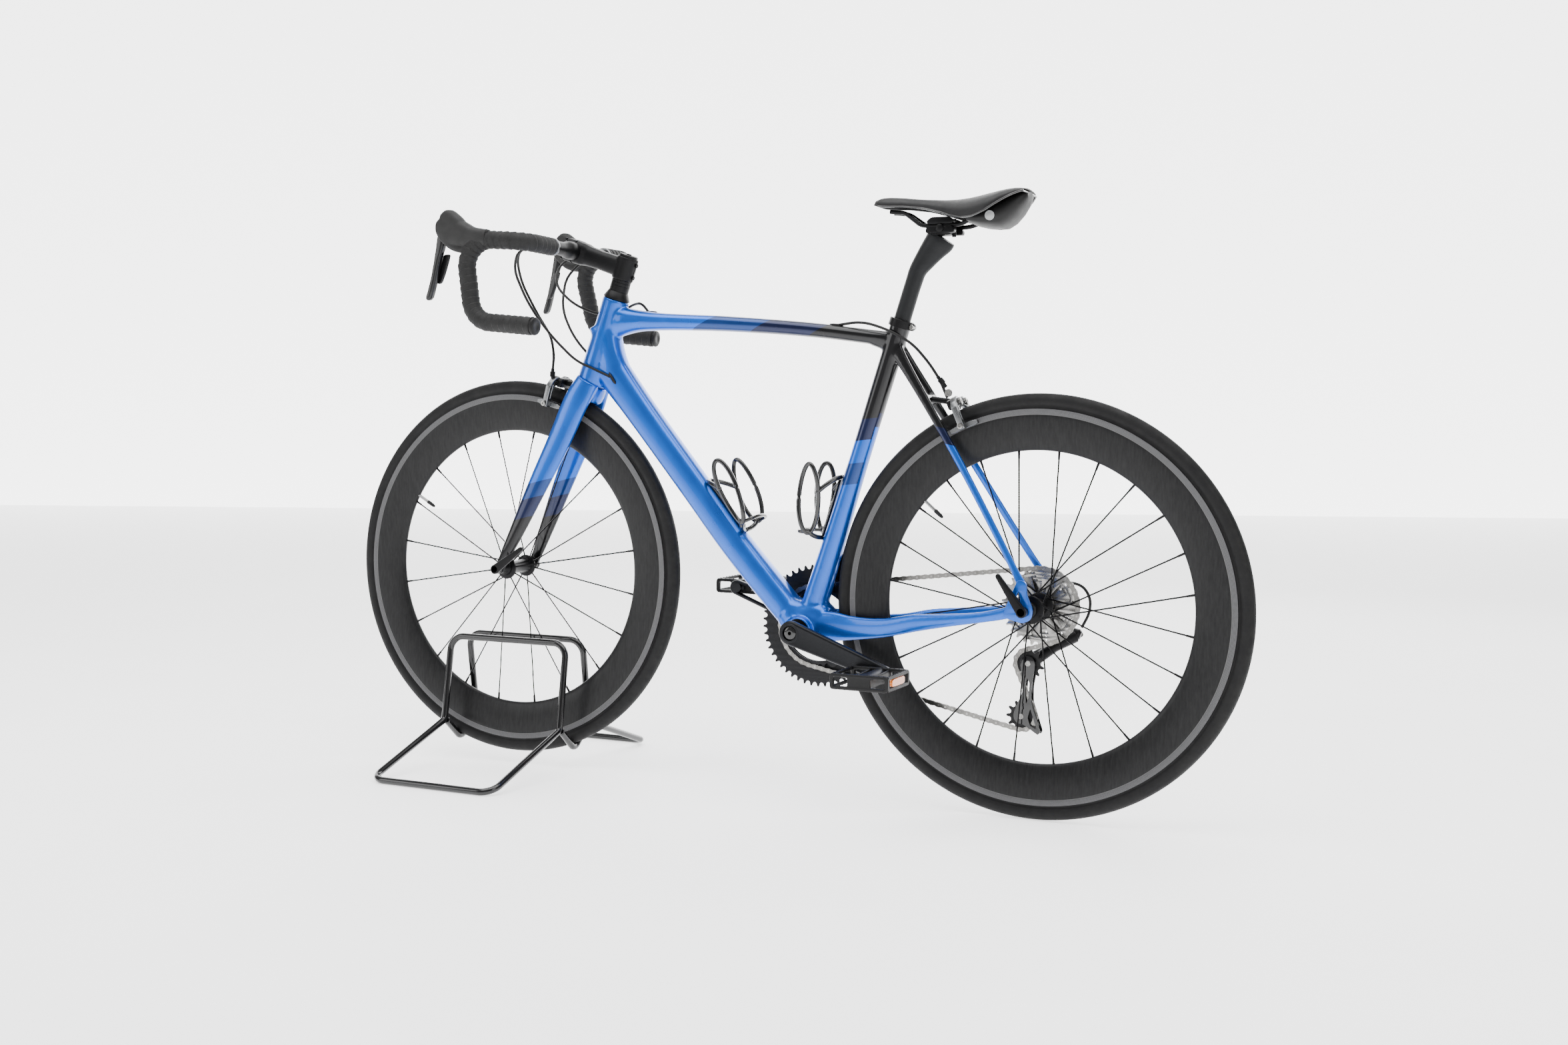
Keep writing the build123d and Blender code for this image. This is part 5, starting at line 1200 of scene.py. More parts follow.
post_foot = on_seat(788) - SEAT_UP * 128
shaft = loft_tube([(*post_foot, 27.2, 27.2), (*on_seat(780), 27.2, 27.2), (*on_seat(850), 27.2, 27.2),
                   (281, 0, 868, 26.6, 29), (294, 0, 886, 26, 36), (307, 0, 902, 28, 43),
                   (318, 0, 914.5, 31, 49), (321, 0, 919, 30, 47)], 70, 36, 2.1)
piece("seatpost_shaft", shaft, "seat", POST_GREY, ("seatpost",))
jaw_low = [(303, 923.5), (349, 923.5), (350, 929), (346, 934.6), (306, 934.6), (302, 929)]
jaw_high = [(306, 937.4), (346, 937.4), (349, 942), (341, 948.5), (311, 948.5), (303, 942)]
jaws = []
for side in (-1, 1):
    low, high = span(side, 15.5, 27.5)
    jaws.append(plate([rounded_outline(jaw_low, 2.5)], low, high, 1.2))
    jaws.append(plate([rounded_outline(jaw_high, 3.5)], low, high, 1.6))
jaws.append(plate([rounded_outline([(309, 922), (341, 922), (338, 946), (312, 946)], 3)], -15.4, 15.4, 1.5))
for x in (311, 341):
    jaws.append(rod((x, 0, 919), (x, 0, 947.5), 3.4, 20))
jaws.append(turned([(-29.5, 0.5), (-29.5, 5), (-28.6, 6.2), (-27.5, 6.4), (27.5, 6.4), (28.6, 6.2),
                    (29.5, 5),
                    (29.5, 0.5)], (326, 0, 931), 32, closed=False))
piece("saddle_clamp_jaws", merge(jaws), "seat", BLACK_ALLOY, ("saddle_clamp",))
rails = []
for side in (-1, 1):
    route = filleted([(236, side * 9, 962), (262, side * 12, 959), (294, side * 22, 936),
                      (360, side * 22, 936),
                      (402, side * 36, 953)], [24, 24, 30], 2)
    rails.append(sweep(route, 3.5, 18))
piece("rail_pair", merge(rails), "seat", BLACK_STEEL, ("saddle_rails",))

saddle_stations = np.array([(209, 9, 974, 981), (212, 13, 972, 983.5), (218, 16, 970, 985.3),
                            (232, 18, 968.5, 986),
                            (262, 20, 967, 984), (298, 25, 962, 980.5), (331, 36, 953, 977.5),
                            (350, 47, 946, 977),
                            (369, 57, 941.5, 978), (390, 65, 941.5, 981), (412, 70, 949, 985),
                            (432, 68, 961, 988),
                            (448, 60, 971, 989.4), (458, 48, 977.5, 989), (463, 36, 981, 987.5)])
dense = np.stack([np.interp(np.linspace(0, 1, 90) * 254 + 209, saddle_stations[:, 0], saddle_stations[:, k])
                  for k in range(4)], 1)
kernel = np.array([1, 2, 3, 2, 1]) / 9
for k in (1, 2, 3):
    padded_column = np.pad(dense[:, k], 2, mode="edge")
    dense[:, k] = np.convolve(padded_column, kernel, "valid")
theta = np.linspace(0, math.pi, 41)
rings, edge = [], []
for x, w, zb, zt in dense:
    y = -w * np.cos(theta)
    rise = np.sin(theta) ** 0.62
    crown = 1 - 0.16 * (np.abs(y) / max(w, 1)) ** 2
    z = zb + (zt - zb) * rise * crown
    channel = 3.2 * math.exp(-((x - 345) / 75) ** 4) * np.exp(-(y / 8.5) ** 2)
    z = z - channel
    inner = max(w - 3.5, 2)
    y2 = inner * np.cos(theta[4:-4:2])
    z2 = zb + 1.5 + (zt - zb) * 0.55 * np.sin(theta[4:-4:2]) ** 0.7
    rings.append(np.stack([np.full(len(y) + len(y2), x), np.concatenate([y, y2]), np.concatenate([z, z2])],
                          1))
    edge.append((x, w, zb))
cover = piece("saddle_cover", grid(rings), "seat", SADDLE_COVER, ("saddle",), sharp=60)
edge = np.array(edge)
line = np.concatenate([np.stack([edge[:, 0], -edge[:, 1], edge[:, 2] + 1.0], 1),
                       np.stack([edge[::-1, 0], edge[::-1, 1], edge[::-1, 2] + 1.0], 1)])
piece("saddle_trim", sweep(resample(line, 3.0), 1.5, 10, up=(0, 0, 1)), "seat", GLOSS_BLACK)
shell_rings = []
for x, w, low, high in ((372, 38, 938, 950), (382, 43, 933.5, 954), (396, 45, 930, 958),
                        (412, 45, 928, 964),
                        (426, 43, 928.5, 971), (438, 39, 935, 977), (450, 33, 947, 981.5),
                        (460, 25, 961, 983.5),
                        (465, 16, 971, 982.5)):
    c, d = soft_square(36, 2.5)
    shell_rings.append(np.stack([np.full(36, float(x)), w * c, (low + high) / 2 + (high - low) / 2 * d], 1))
piece("saddle_tail_shell", grid(shell_rings), "seat", PLASTIC)
piece("tail_badge", turned_about([(-4, 7.5), (0.6, 7.5), (1.2, 6.8), (1.0, 5.6), (1.3, 5.0), (1.3, 0.4)],
                                 (413, -44.3, 945), (0.02, -1, -0.03), 36), "seat", BADGE)


# ------------------------------------------------------------------ cages
def bottle_loops(foot, along, away, name):
    """Cage with a spine, two side rings and a ledge, round a bottle of 74 mm."""
    foot, along, away = (np.asarray(v, float) for v in (foot, along, away))
    centre = foot + away * 39.2

    def at(height, turn, radius=37.6):
        t = math.radians(turn)
        return centre + along * height - away * radius * math.cos(t) + SIDE * radius * math.sin(t)

    loops = []
    for side in (-1, 1):
        ring = [at(62 + 55 * math.sin(a), side * (80 + 27 * math.cos(a) + 22 * math.sin(a)))
                for a in around(56)]
        loops.append(sweep(ring, 3.9, 16, closed=True, up=away))
        arm = [at(109, side * 5), at(106, side * 22), at(94, side * 44), at(78, side * 62)]
        loops.append(sweep(spline(arm, 28), 4.0, 16, up=along, round_ends=True))
        brace = [at(3, side * 8), at(3.6, side * 26), at(6, side * 44), at(11, side * 58)]
        loops.append(sweep(spline(brace, 24), 4.0, 16, up=along, round_ends=True))
    ledge = [at(8, -58), at(4.0, -80, 28), at(3.8, 180, 2), at(4.0, 80, 28), at(8, 58)]
    loops.append(sweep(spline(ledge, 36), 3.0, 14, up=along, round_ends=True))
    back = block(foot + away * 1.4, along, SIDE, [(2, 8, 2.4, 2.4), (8, 17, 3.6, 2.8), (30, 14, 4, 2.8),
                 (60, 13, 4, 2.8), (92, 16, 4, 2.8), (106, 18, 3.6, 2.8), (112, 8, 2.4, 2.4)])
    loops.append(back)
    piece(name, merge(loops), "frame", GLOSS_BLACK)
    bolts = []
    for height in (12, 62):
        bolts.append(turned_about([(0, 0.4), (0, 4.4), (2.2, 4.4), (3.2, 3.6), (3.4, 2.2), (2.4, 2.0),
                                   (2.4, 0.3)],
                                  foot + along * height + away * 3.2, away, 22))
    piece(name + "_bolts", merge(bolts), "frame", STEEL)


down_start = np.array([-40.0, 0, 416])
down_along = np.array([-215.0, 0, 627]) - down_start
down_along /= np.linalg.norm(down_along)
down_away = np.cross(SIDE, down_along)
seat_away = -np.cross(SIDE, SEAT_UP)
bottle_loops(down_start + down_along * 6 + down_away * 26.6, down_along, down_away, "down_tube_cage")
bottle_loops(on_seat(424) + seat_away * 19.2, SEAT_UP, seat_away, "seat_tube_cage")
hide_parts("bottle_cages")


# ------------------------------------------------------------------ toothed wheels
def teeth_outline(centre, teeth, tip=3.0, start=0.0):
    """Outline of a toothed wheel with a round seat for each roller."""
    radius = pitch_radius(teeth)
    out = []
    for i in range(teeth):
        phi = start + 2 * math.pi * i / teeth
        u = np.array([math.cos(phi), math.sin(phi)])
        t = np.array([-u[1], u[0]])
        seat = u * radius
        for beta in np.radians([-86, -58, -29, 0, 29, 58, 86]):
            out.append(seat + 3.97 * (-math.cos(beta) * u + math.sin(beta) * t))
        for spread in (-0.09, 0.09):
            psi = phi + math.pi / teeth * (1 + spread * 2)
            out.append(np.array([math.cos(psi), math.sin(psi)]) * (radius + tip))
    return [(centre[0] + p[0], centre[1] + p[1]) for p in out]


def arc_points(centre, radius, start, end, count):
    return [(centre[0] + radius * math.cos(a), centre[1] + radius * math.sin(a))
            for a in np.linspace(start, end, count)]


def cog_holes(centre, count, inner, outer, share=0.6, turn=0.0):
    """Ring of curved windows."""
    holes = []
    for i in range(count):
        a0 = turn + 2 * math.pi * (i + (1 - share) / 2) / count
        a1 = turn + 2 * math.pi * (i + (1 + share) / 2) / count
        arc = arc_points(centre, outer, a0, a1, 8) + arc_points(centre, inner, a1, a0, 8)
        holes.append(rounded_outline(arc, 1.5, 2))
    return holes


bb = (BB[0], BB[2])
tilt = math.atan2(RIGHT_HEADING[2], RIGHT_HEADING[0])
big = plate([teeth_outline(bb, 50), circle(*bb, 60, 72)], 46.4, 48.0, 0.3)
tabs, ring_bolts = [], []
for i in range(4):
    a = tilt + math.radians(45 + 90 * i)
    tip = (BB[0] + 55 * math.cos(a), BB[2] + 55 * math.sin(a))
    root = (BB[0] + 66 * math.cos(a), BB[2] + 66 * math.sin(a))
    tabs.append(plate([link_outline(tip, root, 7.5, 11), circle(*tip, 3.2, 18)], 46.45, 47.95, 0.3))
    tabs.append(plate([link_outline(tip, root, 7.5, 9), circle(*tip, 3.2, 18)], 40.3, 41.7, 0.3))
    ring_bolts.append(turned_about([(0, 0.4), (0, 4.9), (1.0, 4.9), (1.5, 4.3), (1.5, 2.8), (0.8, 2.6),
                                    (0.8, 0.4)],
                                   (tip[0], 48.0, tip[1]), SIDE, 26))
small = plate([teeth_outline(bb, 34), circle(*bb, 60, 72)], 40.2, 41.8, 0.3)
piece("chainring_pair", merge([big, small, *tabs]), "crank", RING_GREY, ("chainrings",),
      sharp=30)
piece("chainring_bolts", merge(ring_bolts), "crank", STEEL)

left_eye, right_eye = BB - RIGHT_HEADING * CRANK_LENGTH, BB + RIGHT_HEADING * CRANK_LENGTH


def arm_outline(eye, wide, narrow):
    return link_outline(bb, (eye[0], eye[2]), wide, narrow, 28)


left_arm = plate([arm_outline(left_eye, 20, 13), circle(*bb, 12.1, 40),
                  circle(left_eye[0], left_eye[2], 4.6, 24)],
                 -72.9, -59.1, 4.2, 4)
collar = turned([(-73.6, 12.2), (-73.6, 15.4), (-72.4, 16.6), (-70, 16.8), (-60, 16.8), (-60, 12.2)], BB,
                48)
piece("left_arm", merge([left_arm, collar]), "crank", CRANK_GREY, ("crank_arm_left",),
      sharp=35)
spindle = turned([(-67.8, 7.5), (-67.8, 11.9), (60, 11.9), (60, 7.5)], BB, 48)
preload = turned([(-72.6, 3.0), (-72.9, 8.6), (-71.6, 10.6), (-66.5, 10.8), (-66.5, 3.0)], BB, 40)
piece("spindle_cap", preload, "crank", GLOSS_BLACK)
right_arm = plate([arm_outline(right_eye, 20, 13), circle(right_eye[0], right_eye[2], 4.6, 24)], 59.1, 72.9,
                  4.2, 4)
spider = [turned([(43.6, 12), (43.6, 18.8), (59.3, 18.8), (59.3, 12)], BB, 48)]
for i in range(4):
    a = tilt + math.radians(45 + 90 * i)
    tip = (BB[0] + 57 * math.cos(a), BB[2] + 57 * math.sin(a))
    spider.append(plate([link_outline(bb, tip, 16, 6.6)], 43.7, 46.3, 0.9))
    low_tip = (BB[0] + 46 * math.cos(a), BB[2] + 46 * math.sin(a))
    spider.append(plate([link_outline(bb, low_tip, 17, 8)], 48.2, 57.5, 3.0, 3))
piece("right_arm", merge([right_arm, spindle, *spider]), "crank", CRANK_GREY,
      ("crank_arm_right",),
      sharp=35)

cog_parts, sleeve = [], []
rear = (REAR_AXLE[0], REAR_AXLE[2])
for i, teeth in enumerate((30, 27, 24, 21, 19, 17, 15, 14, 13, 12, 11)):
    y = COG_SIDE + i * COG_SPACING
    radius = pitch_radius(teeth)
    holes = [circle(*rear, 17.3, 40)]
    if radius > 40:
        holes += cog_holes(rear, 6, 23, radius - 11, 0.62, i * 0.3)
        holes += [circle(*spot, 1.6, 10) for spot in circle(*rear, radius - 7, 12, 0.2)]
    cog_parts.append(plate([teeth_outline(rear, teeth, 3.0, i * 0.05), *holes], y - 0.8, y + 0.8, 0.22, 1))
    if i < 10:
        sleeve.append(turned([(y + 0.8, 17.3), (y + 0.8, 19.2), (y + COG_SPACING - 0.8, 19.2),
                              (y + COG_SPACING - 0.8, 17.3)], REAR_AXLE, 40))
lock = [(58.9, 11), (58.9, 16.5), (60.4, 16.8), (61.0, 16.0), (61.0, 11)]
piece("cog_stack", merge([*cog_parts, *sleeve]), "cassette", STEEL, ("cassette",), sharp=30)
piece("lock_ring", turned(lock, REAR_AXLE, 48), "cassette", BLACK_ALLOY)


# ------------------------------------------------------------------ chain
def tangent(c1, r1, c2, r2, kind):
    """Angles at which a straight run leaves one circle and meets another."""
    dx, dz = c2[0] - c1[0], c2[1] - c1[1]
    base = math.degrees(math.atan2(dz, dx))
    side = 1 if kind > 0 else -1
    if abs(kind) == 1:
        turn = math.degrees(math.acos((r1 - r2) / math.hypot(dx, dz)))
        return base + side * turn, base + side * turn
    turn = math.degrees(math.acos((r1 + r2) / math.hypot(dx, dz)))
    return base + side * turn, base + side * turn + 180


ring_r, cog_r, pulley_r = pitch_radius(34), pitch_radius(30), pitch_radius(11)
upper_ring, upper_cog = tangent(bb, ring_r, rear, cog_r, 1)
cog_leave, guide_enter = tangent(rear, cog_r, GUIDE, pulley_r, 2)
guide_leave, tension_enter = tangent(GUIDE, pulley_r, TENSION, pulley_r, -2)
lower_ring, lower_tension = tangent(bb, ring_r, TENSION, pulley_r, -1)


def wrap(centre, radius, a0, a1, y):
    """Pins' route round a wheel."""
    n = max(4, int(abs(a1 - a0) * math.pi / 180 * radius / 2))
    return [(centre[0] + radius * math.cos(a), y, centre[1] + radius * math.sin(a))
            for a in np.radians(np.linspace(a0, a1, n))]


def joined(a, b):
    """Straight run that changes plane away from both wheels."""
    a, b = np.array(a), np.array(b)
    if abs(a[1] - b[1]) < 1:
        return [a + (b - a) * u for u in np.linspace(0, 1, 12)[1:-1]]
    flat = np.array([b[0] - a[0], 0, b[2] - a[2]])
    flat /= np.linalg.norm(flat)
    first, last = a + flat * 36, b - flat * 36
    middle = [first + (last - first) * u for u in np.linspace(0, 1, 40)[1:-1]]
    return [a + flat * 18, first, *middle, last, b - flat * 18]


loop = wrap(bb, ring_r, upper_ring, 360 + lower_ring, RING_SIDE)
low_run = wrap(TENSION, pulley_r, lower_tension, tension_enter, COG_SIDE)
guide_run = wrap(GUIDE, pulley_r, 360 + guide_leave, guide_enter, COG_SIDE)
cog_run = wrap(rear, cog_r, cog_leave, upper_cog, COG_SIDE)
loop += joined(loop[-1], low_run[0]) + low_run + joined(low_run[-1], guide_run[0]) + guide_run
loop += joined(guide_run[-1], cog_run[0]) + cog_run + joined(cog_run[-1], loop[0]) + [loop[0]]
loop = np.array([np.asarray(p, float) for p in loop])
t = np.concatenate([[0], np.cumsum(np.linalg.norm(np.diff(loop, axis=0), axis=1))])
links = 2 * int(round(t[-1] / PITCH / 2))
s = np.linspace(0, t[-1], links + 1)[:-1]
pins = np.stack([np.interp(s, t, loop[:, k]) for k in range(3)], 1)


def flat_link(length, height, waist, y0, y1):
    """One waisted chain plate."""
    pts = []
    for sign, cx in ((1, length / 2), (-1, -length / 2)):
        for a in np.radians(np.linspace(-110, 110, 8) if sign > 0 else np.linspace(70, 290, 8)):
            pts.append((cx + height / 2 * math.cos(a), height / 2 * math.sin(a)))
        pts.append((0, waist / 2 * sign))
    m = len(pts)
    v = [(x, y0, z) for x, z in pts] + [(x, y1, z) for x, z in pts]
    f = [tuple(range(m)), tuple(reversed(range(m, 2 * m)))]
    f += [(k, m + k, m + (k + 1) % m, (k + 1) % m) for k in range(m)]
    return np.array(v), f


outer_plates = [flat_link(12.7, 8.2, 5.6, y, y + 0.55) for y in (1.95, -2.5)]
inner_plates = [flat_link(12.7, 8.2, 6.2, y, y + 0.55) for y in (1.3, -1.85)]
chain_plates, chain_pins = [], []
for i in range(links):
    a, b = pins[i], pins[(i + 1) % links]
    d = b - a
    length = np.linalg.norm(d)
    d = d / length
    up = np.cross(d, SIDE)
    up /= np.linalg.norm(up)
    turn = np.stack([d, np.cross(up, d), up], 1)
    for part in outer_plates if i % 2 else inner_plates:
        chain_plates.append(moved(part, turn, (a + b) / 2))
    chain_pins.append(turned([(-2.7, 0.3), (-2.7, 1.7), (-1.3, 1.8), (-1.25, 3.8), (1.25, 3.8), (1.3, 1.8),
                              (2.7, 1.7), (2.7, 0.3)], a, 12, closed=False))
piece("chain_plates", merge(chain_plates), "frame", CHAIN_STEEL, ("chain",), sharp=30)
piece("chain_rollers", merge(chain_pins), "frame", STEEL, sharp=30)

# ------------------------------------------------------------------ derailleurs
for centre, name, body in ((GUIDE, "guide_wheel", "guide_pulley"),
                           (TENSION, "tension_wheel", "tension_pulley")):
    wheel = plate([teeth_outline(centre, 11, 3.0), circle(*centre, 3.2, 24),
                   *cog_holes(centre, 5, 6.5, 12, 0.55)],
                  21.2, 22.8, 0.25)
    boss = turned([(20.6, 3.2), (20.6, 5.6), (23.4, 5.6), (23.4, 3.2)], (centre[0], 0, centre[1]), 24)
    piece(name, merge([wheel, boss]), body, PLASTIC, (body,), sharp=35)
tip = (492, 136)
outer_cage = [(GUIDE[0] - 12, GUIDE[1] + 4), (GUIDE[0] - 6, GUIDE[1] + 12), (GUIDE[0] + 6, GUIDE[1] + 12),
              (GUIDE[0] + 13, GUIDE[1] + 3), (GUIDE[0] + 12, GUIDE[1] - 10), (476, 206), (476, 184), tip,
              (488, 131), (TENSION[0] + 6, TENSION[1] - 13), (TENSION[0] - 7, TENSION[1] - 11),
              (TENSION[0] - 12, TENSION[1]), (TENSION[0] - 8, TENSION[1] + 14), (462, 198), (460, 222)]
window = [(467, 222), (472, 214), (471, 190), (467, 180), (465, 198)]
low_window = [(474, 172), (484, 142), (474, 146), (470, 158)]
cage_parts = [plate([rounded_outline(outer_cage, 6), rounded_outline(window, 2),
                     rounded_outline(low_window, 2)],
                    27.3, 28.6, 0.35)]
inner_cage = [(x - 1, z) for x, z in outer_cage]
cage_parts.append(plate([rounded_outline(inner_cage, 6), rounded_outline(window, 2),
                         rounded_outline(low_window, 2)],
                        15.5, 16.7, 0.35))
for centre in (GUIDE, TENSION):
    cage_parts.append(rod((centre[0], 14.9, centre[1]), (centre[0], 29.0, centre[1]), 3.0, 20))
piece("pulley_cage", merge(cage_parts), "frame", GLOSS_BLACK, ("rear_derailleur",), sharp=35)
foot, elbow, knuckle = (470.8, 45.2, 248.2), (528, 83, 288), (490, 83, 302)
body_parts = [turned([(29.5, 0.5), (29.5, 12), (31, 13), (52, 13), (54.2, 11.4), (54.2, 0.5)],
                     (GUIDE[0], 0, GUIDE[1]), 36, closed=False),
              turned([(71.1, 0.5), (71.1, 10.4), (72.5, 11), (90.5, 11), (92, 9.6), (92, 0.5)],
                     (knuckle[0], 0, knuckle[2]), 36, closed=False),
              block(knuckle, (0.938, 0, -0.346), SIDE, [(-3, 17, 16, 3), (14, 14, 13, 3), (30, 15, 15, 3),
                                                        (44, 19, 19, 3),
                                                        (49, 13, 13, 2.4)])]
for shift in (-6.2, 6.2):
    body_parts.append(sweep([np.array(foot) + (0, shift * 0.6, shift * 0.5),
                             np.array([500, 66, 268]) + (0, shift, 0),
                             np.array(elbow) + (0, shift * 0.6, shift * 0.5)], [9.5, 8.6, 10.5], 18))
mech = fused("derailleur_links", body_parts, 0.9, 4)
dress(mech, "frame", BLACK_ALLOY, sharp=40)
mech_bolts = []
for at, axis in (((490, 92, 302), (0, 1, 0)), ((GUIDE[0], 29.1, GUIDE[1]), (0, 1, 0)),
                 ((TENSION[0], 28.7, TENSION[1]), (0, 1, 0)),
                 ((GUIDE[0], 15.4, GUIDE[1]), (0, -1, 0)), ((TENSION[0], 15.4, TENSION[1]), (0, -1, 0)),
                 ((533, 93, 286), (0, 1, 0))):
    mech_bolts.append(turned_about([(-0.6, 0.3), (-0.6, 4.4), (0.8, 4.4), (1.5, 3.7), (1.5, 2.1),
                                    (0.7, 1.9), (0.7, 0.3)],
                                   at, axis, 22))
piece("derailleur_bolts", merge(mech_bolts), "frame", STEEL)


def arc_band(inner, outer, a0, a1, y0, y1, bevel=0.3):
    a0, a1 = math.radians(a0), math.radians(a1)
    line = arc_points(bb, outer, a0, a1, 16) + arc_points(bb, inner, a1, a0, 16)
    return plate([rounded_outline(line, 2, 2)], y0, y1, bevel)


big_tip = pitch_radius(50) + 3
front_mech = [arc_band(big_tip + 3, big_tip + 30, 54, 84, 44.2, 45.6),
              arc_band(90, big_tip + 30, 54, 84, 31, 32.4),
              arc_band(big_tip + 28, big_tip + 30, 54, 84, 31, 45.6, 0.2),
              plate([rounded_outline([(124, 394), (150, 404), (146, 424), (120, 414)], 4)], 8, 31.5, 2.0)]
piece("front_mech", merge(front_mech), "frame", BLACK_ALLOY, ("front_derailleur",))


# ------------------------------------------------------------------ pedals
def pedal(side, eye, hand):
    """Cage platform: end rails with windows, cross ribs, centre barrel, studs and reflectors."""
    body = f"pedal_{hand}"
    y0, y1 = span(side, 78, 174)
    x, z = eye[0], eye[2]
    parts = []
    rail_outline = rounded_outline([(x - 48.5, z - 12.4), (x + 48.5, z - 12.4), (x + 48.5, z + 12.4),
                                    (x - 48.5, z + 12.4)], 6)
    windows = [rounded_outline([(x + a, z - 7.5), (x + b, z - 7.5), (x + b, z + 7.5), (x + a, z + 7.5)], 4)
               for a, b in ((-43, -19), (19, 43))]
    parts.append(plate([rail_outline, *windows], y0 + 0.2, y0 + 8, 1.2))
    parts.append(plate([rail_outline, *windows], y1 - 8, y1 - 0.2, 1.2))
    for dx in (-46.4, 46.4):
        for dz in (-9.4, 9.4):
            parts.append(block((x + dx, y0 + 4, z + dz), SIDE, (1, 0, 0),
                               [(0, 4, 5.6, 3), (88, 4, 5.6, 3)]))
    for dx in (-16, 16):
        parts.append(block((x + dx, y0 + 4, z), SIDE, (1, 0, 0),
                           [(0, 4, 21, 3), (44, 3.4, 17, 3), (88, 4, 21, 3)]))
    parts.append(turned([(y0 + 0.3, 0.5), (y0 + 0.3, 11), (y0 + 4, 12.2), ((y0 + y1) / 2, 11.0),
                         (y1 - 4, 12.2),
                         (y1 - 0.3, 10.5), (y1 - 0.3, 7), (y1 - 2, 6.5), (y1 - 2, 0.5)], (x, 0, z), 40,
                        closed=False))
    for dx in np.arange(-40, 41, 8.0):
        for yy in (y0 + 4, y1 - 4):
            for up in (-1, 1):
                if abs(dx) > 14:
                    parts.append(rod((x + dx, yy, z + up * 11.6), (x + dx, yy, z + up * 12.9), 1.5, 10,
                                     1.1))
    for yy in np.linspace(y0 + 14, y1 - 14, 7):
        for dx in (-46.4, 46.4):
            for up in (-1, 1):
                parts.append(rod((x + dx, yy, z + up * 11.4), (x + dx, yy, z + up * 12.9), 1.4, 10, 1.0))
    piece(f"pedal_body_{hand}", merge(parts), body, PLASTIC, (f"pedal_{hand}",), sharp=40)
    pin_low, pin_high = span(side, 60.2, 90)
    piece(f"pedal_pin_{hand}", turned([(pin_low, 0.5), (pin_low, 4.4), (pin_high, 4.4), (pin_high, 0.5)],
                                      (x, 0, z), 24,
                                      closed=False), body, STEEL)
    middle = (y0 + y1) / 2
    lens = block((x + 45.8, middle, z), (1, 0, 0), SIDE,
                 [(-2, 54, 12.6, 5), (1.6, 54, 12.6, 5), (2.4, 52.6, 11.4, 5)])
    piece(f"pedal_reflectors_{hand}", lens, body, AMBER)


pedal(-1, left_eye, "left")
pedal(1, right_eye, "right")


# ------------------------------------------------------------------ skewers
def skewer(axle, half, angle, name, body, node):
    """Quick release: cam, lever, rod and nut."""
    outer = half + 6
    tip = np.array([math.cos(math.radians(angle)), 0, math.sin(math.radians(angle))])
    cam = turned([(-outer - 14.8, 0.5), (-outer - 14.8, 6.5), (-outer - 13.6, 8.2), (-outer - 1.4, 8.4),
                  (-outer - 0.4, 7.6),
                  (-outer - 0.4, 0.5)], axle, 36, closed=False)
    nut = turned([(outer + 0.4, 0.5), (outer + 0.4, 7.6), (outer + 1.2, 8), (outer + 9, 7.6),
                  (outer + 11, 5.6),
                  (outer + 11, 0.5)], axle, 36, closed=False)
    end = axle + tip * 66
    lever_line = link_outline((axle[0], axle[2]), (end[0], end[2]), 8.2, 4)
    lever_part = plate([lever_line], -outer - 14.8, -outer - 7.4, 2.6, 4)
    shaft_part = turned([(-outer - 1, 0.4), (-outer - 1, 2.45), (outer + 1, 2.45), (outer + 1, 0.4)], axle,
                        20, closed=False)
    piece(name, merge([cam, nut, lever_part, shaft_part]), body, BLACK_ALLOY, (node,),
          sharp=35)


skewer(FRONT_AXLE, 50, 35, "front_quick_release", "front_skewer", "front_skewer")
skewer(REAR_AXLE, 65, 125, "rear_quick_release", "rear_skewer", "rear_skewer")

# ------------------------------------------------------------------ CAD nodes that stay in view
for name, material in (("stem_faceplate", STEM_BLACK), ("stem_bolts", BLACK_STEEL),
                       ("bottom_bracket_cups", BLACK_ALLOY)):
    NODES[name].data.materials.clear()
    NODES[name].data.materials.append(material)

# ------------------------------------------------------------------ camera, floor and light
camera_data = bpy.data.cameras.new("camera")
camera_data.sensor_width = 36
camera_data.lens = 37.928
camera_data.clip_start = 0.05
camera_data.clip_end = 60
camera = bpy.data.objects.new("camera", camera_data)
bpy.context.scene.collection.objects.link(camera)
right = Vector((0.90807575, 0.41872109, 0.00843112))
up = Vector((-0.03240635, 0.05017985, 0.99821431))
back = Vector((0.41755032, -0.90672743, 0.05913632))
camera.matrix_world = Matrix.Translation((1.20455, -2.51122, 0.61953)) @ Matrix(
    ((right.x, up.x, back.x), (right.y, up.y, back.y), (right.z, up.z, back.z))).to_4x4()
bpy.context.scene.camera = camera


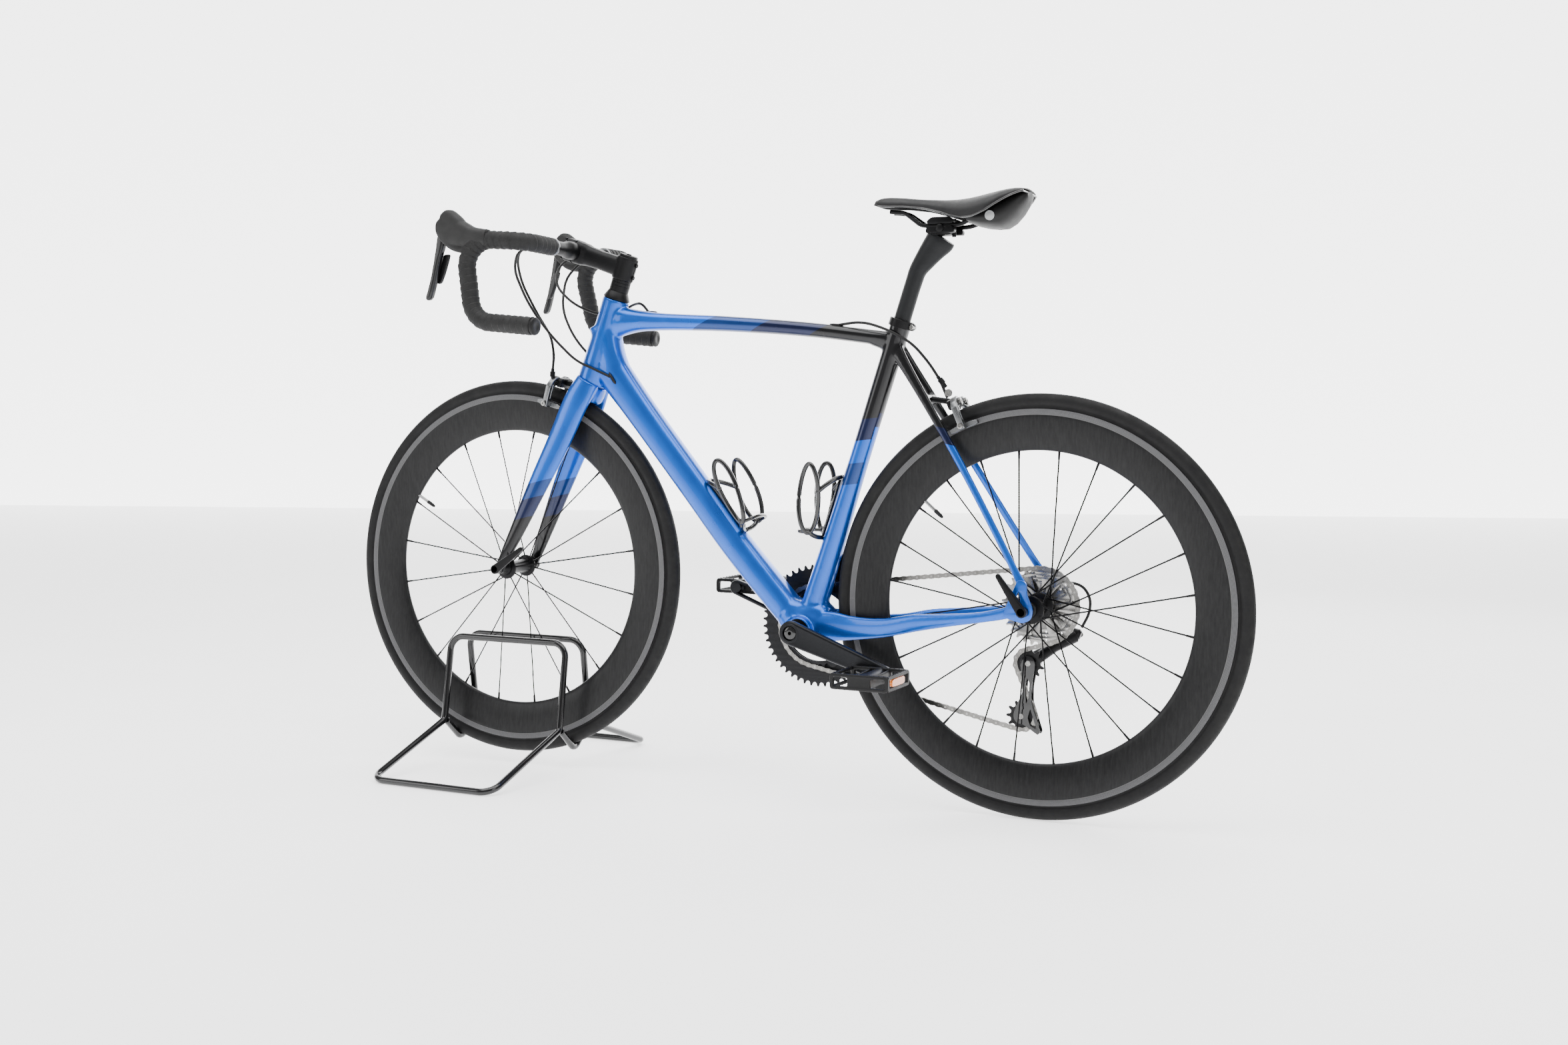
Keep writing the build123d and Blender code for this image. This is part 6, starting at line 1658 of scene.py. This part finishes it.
def floor_material():
    g = Graph("floor_white")
    tone = g.mix(g.between(g.noise(3, 3), 0.3, 0.7, 0, 1), (0.86, 0.86, 0.865), (0.90, 0.90, 0.90))
    g.set(Base_Color=tone, Roughness=0.6, Normal=g.bump(g.noise(300, 2), 0.03, 0.0002))
    g.shader.inputs["Specular IOR Level"].default_value = 0.1
    g.shader.inputs["Emission Color"].default_value = (1.0, 1.0, 1.0, 1.0)
    g.shader.inputs["Emission Strength"].default_value = 1.35
    return g.material


def backdrop_material():
    g = Graph("backdrop_white")
    g.set(Base_Color=(0.9, 0.9, 0.9), Roughness=0.8)
    g.shader.inputs["Emission Color"].default_value = (1.0, 1.0, 1.0, 1.0)
    g.shader.inputs["Emission Strength"].default_value = 3.4
    return g.material


def stage_sheet(name, corners, material):
    """One flat sheet of the studio, not part of the object."""
    mesh = bpy.data.meshes.new(name)
    mesh.from_pydata(corners, [], [(0, 1, 2, 3)])
    mesh.materials.append(material)
    sheet = bpy.data.objects.new(name, mesh)
    bpy.context.scene.collection.objects.link(sheet)


stage_sheet("floor", [(-14, -14, 0), (14, -14, 0), (14, 14, 0), (-14, 14, 0)], floor_material())
stage_sheet("backdrop", [(-14, 3.5, 0), (8, 13.5, 0), (8, 13.5, 9), (-14, 3.5, 9)], backdrop_material())


def area_light(name, place, target, size, power):
    data = bpy.data.lights.new(name, "AREA")
    data.shape = "RECTANGLE"
    data.size, data.size_y = size
    data.energy = power
    light = bpy.data.objects.new(name, data)
    bpy.context.scene.collection.objects.link(light)
    light.location = place
    light.rotation_mode = "QUATERNION"
    light.rotation_quaternion = (Vector(target) - Vector(place)).to_track_quat("-Z", "Y")


area_light("overhead", (0.2, -0.4, 3.4), (0, 0, 0.3), (4.5, 3.2), 230)
area_light("left_soft", (-2.9, -2.6, 1.7), (0, 0, 0.45), (1.6, 2.4), 46)
area_light("right_soft", (3.2, -1.6, 1.6), (0.2, 0, 0.45), (1.4, 2.2), 34)
area_light("behind", (0.4, 3.4, 1.9), (0, 0, 0.5), (3.5, 1.6), 40)

world = bpy.data.worlds.new("studio")
bpy.context.scene.world = world
world.use_nodes = True
background = world.node_tree.nodes["Background"]
background.inputs["Color"].default_value = (1.0, 1.0, 1.0, 1.0)
background.inputs["Strength"].default_value = 0.42
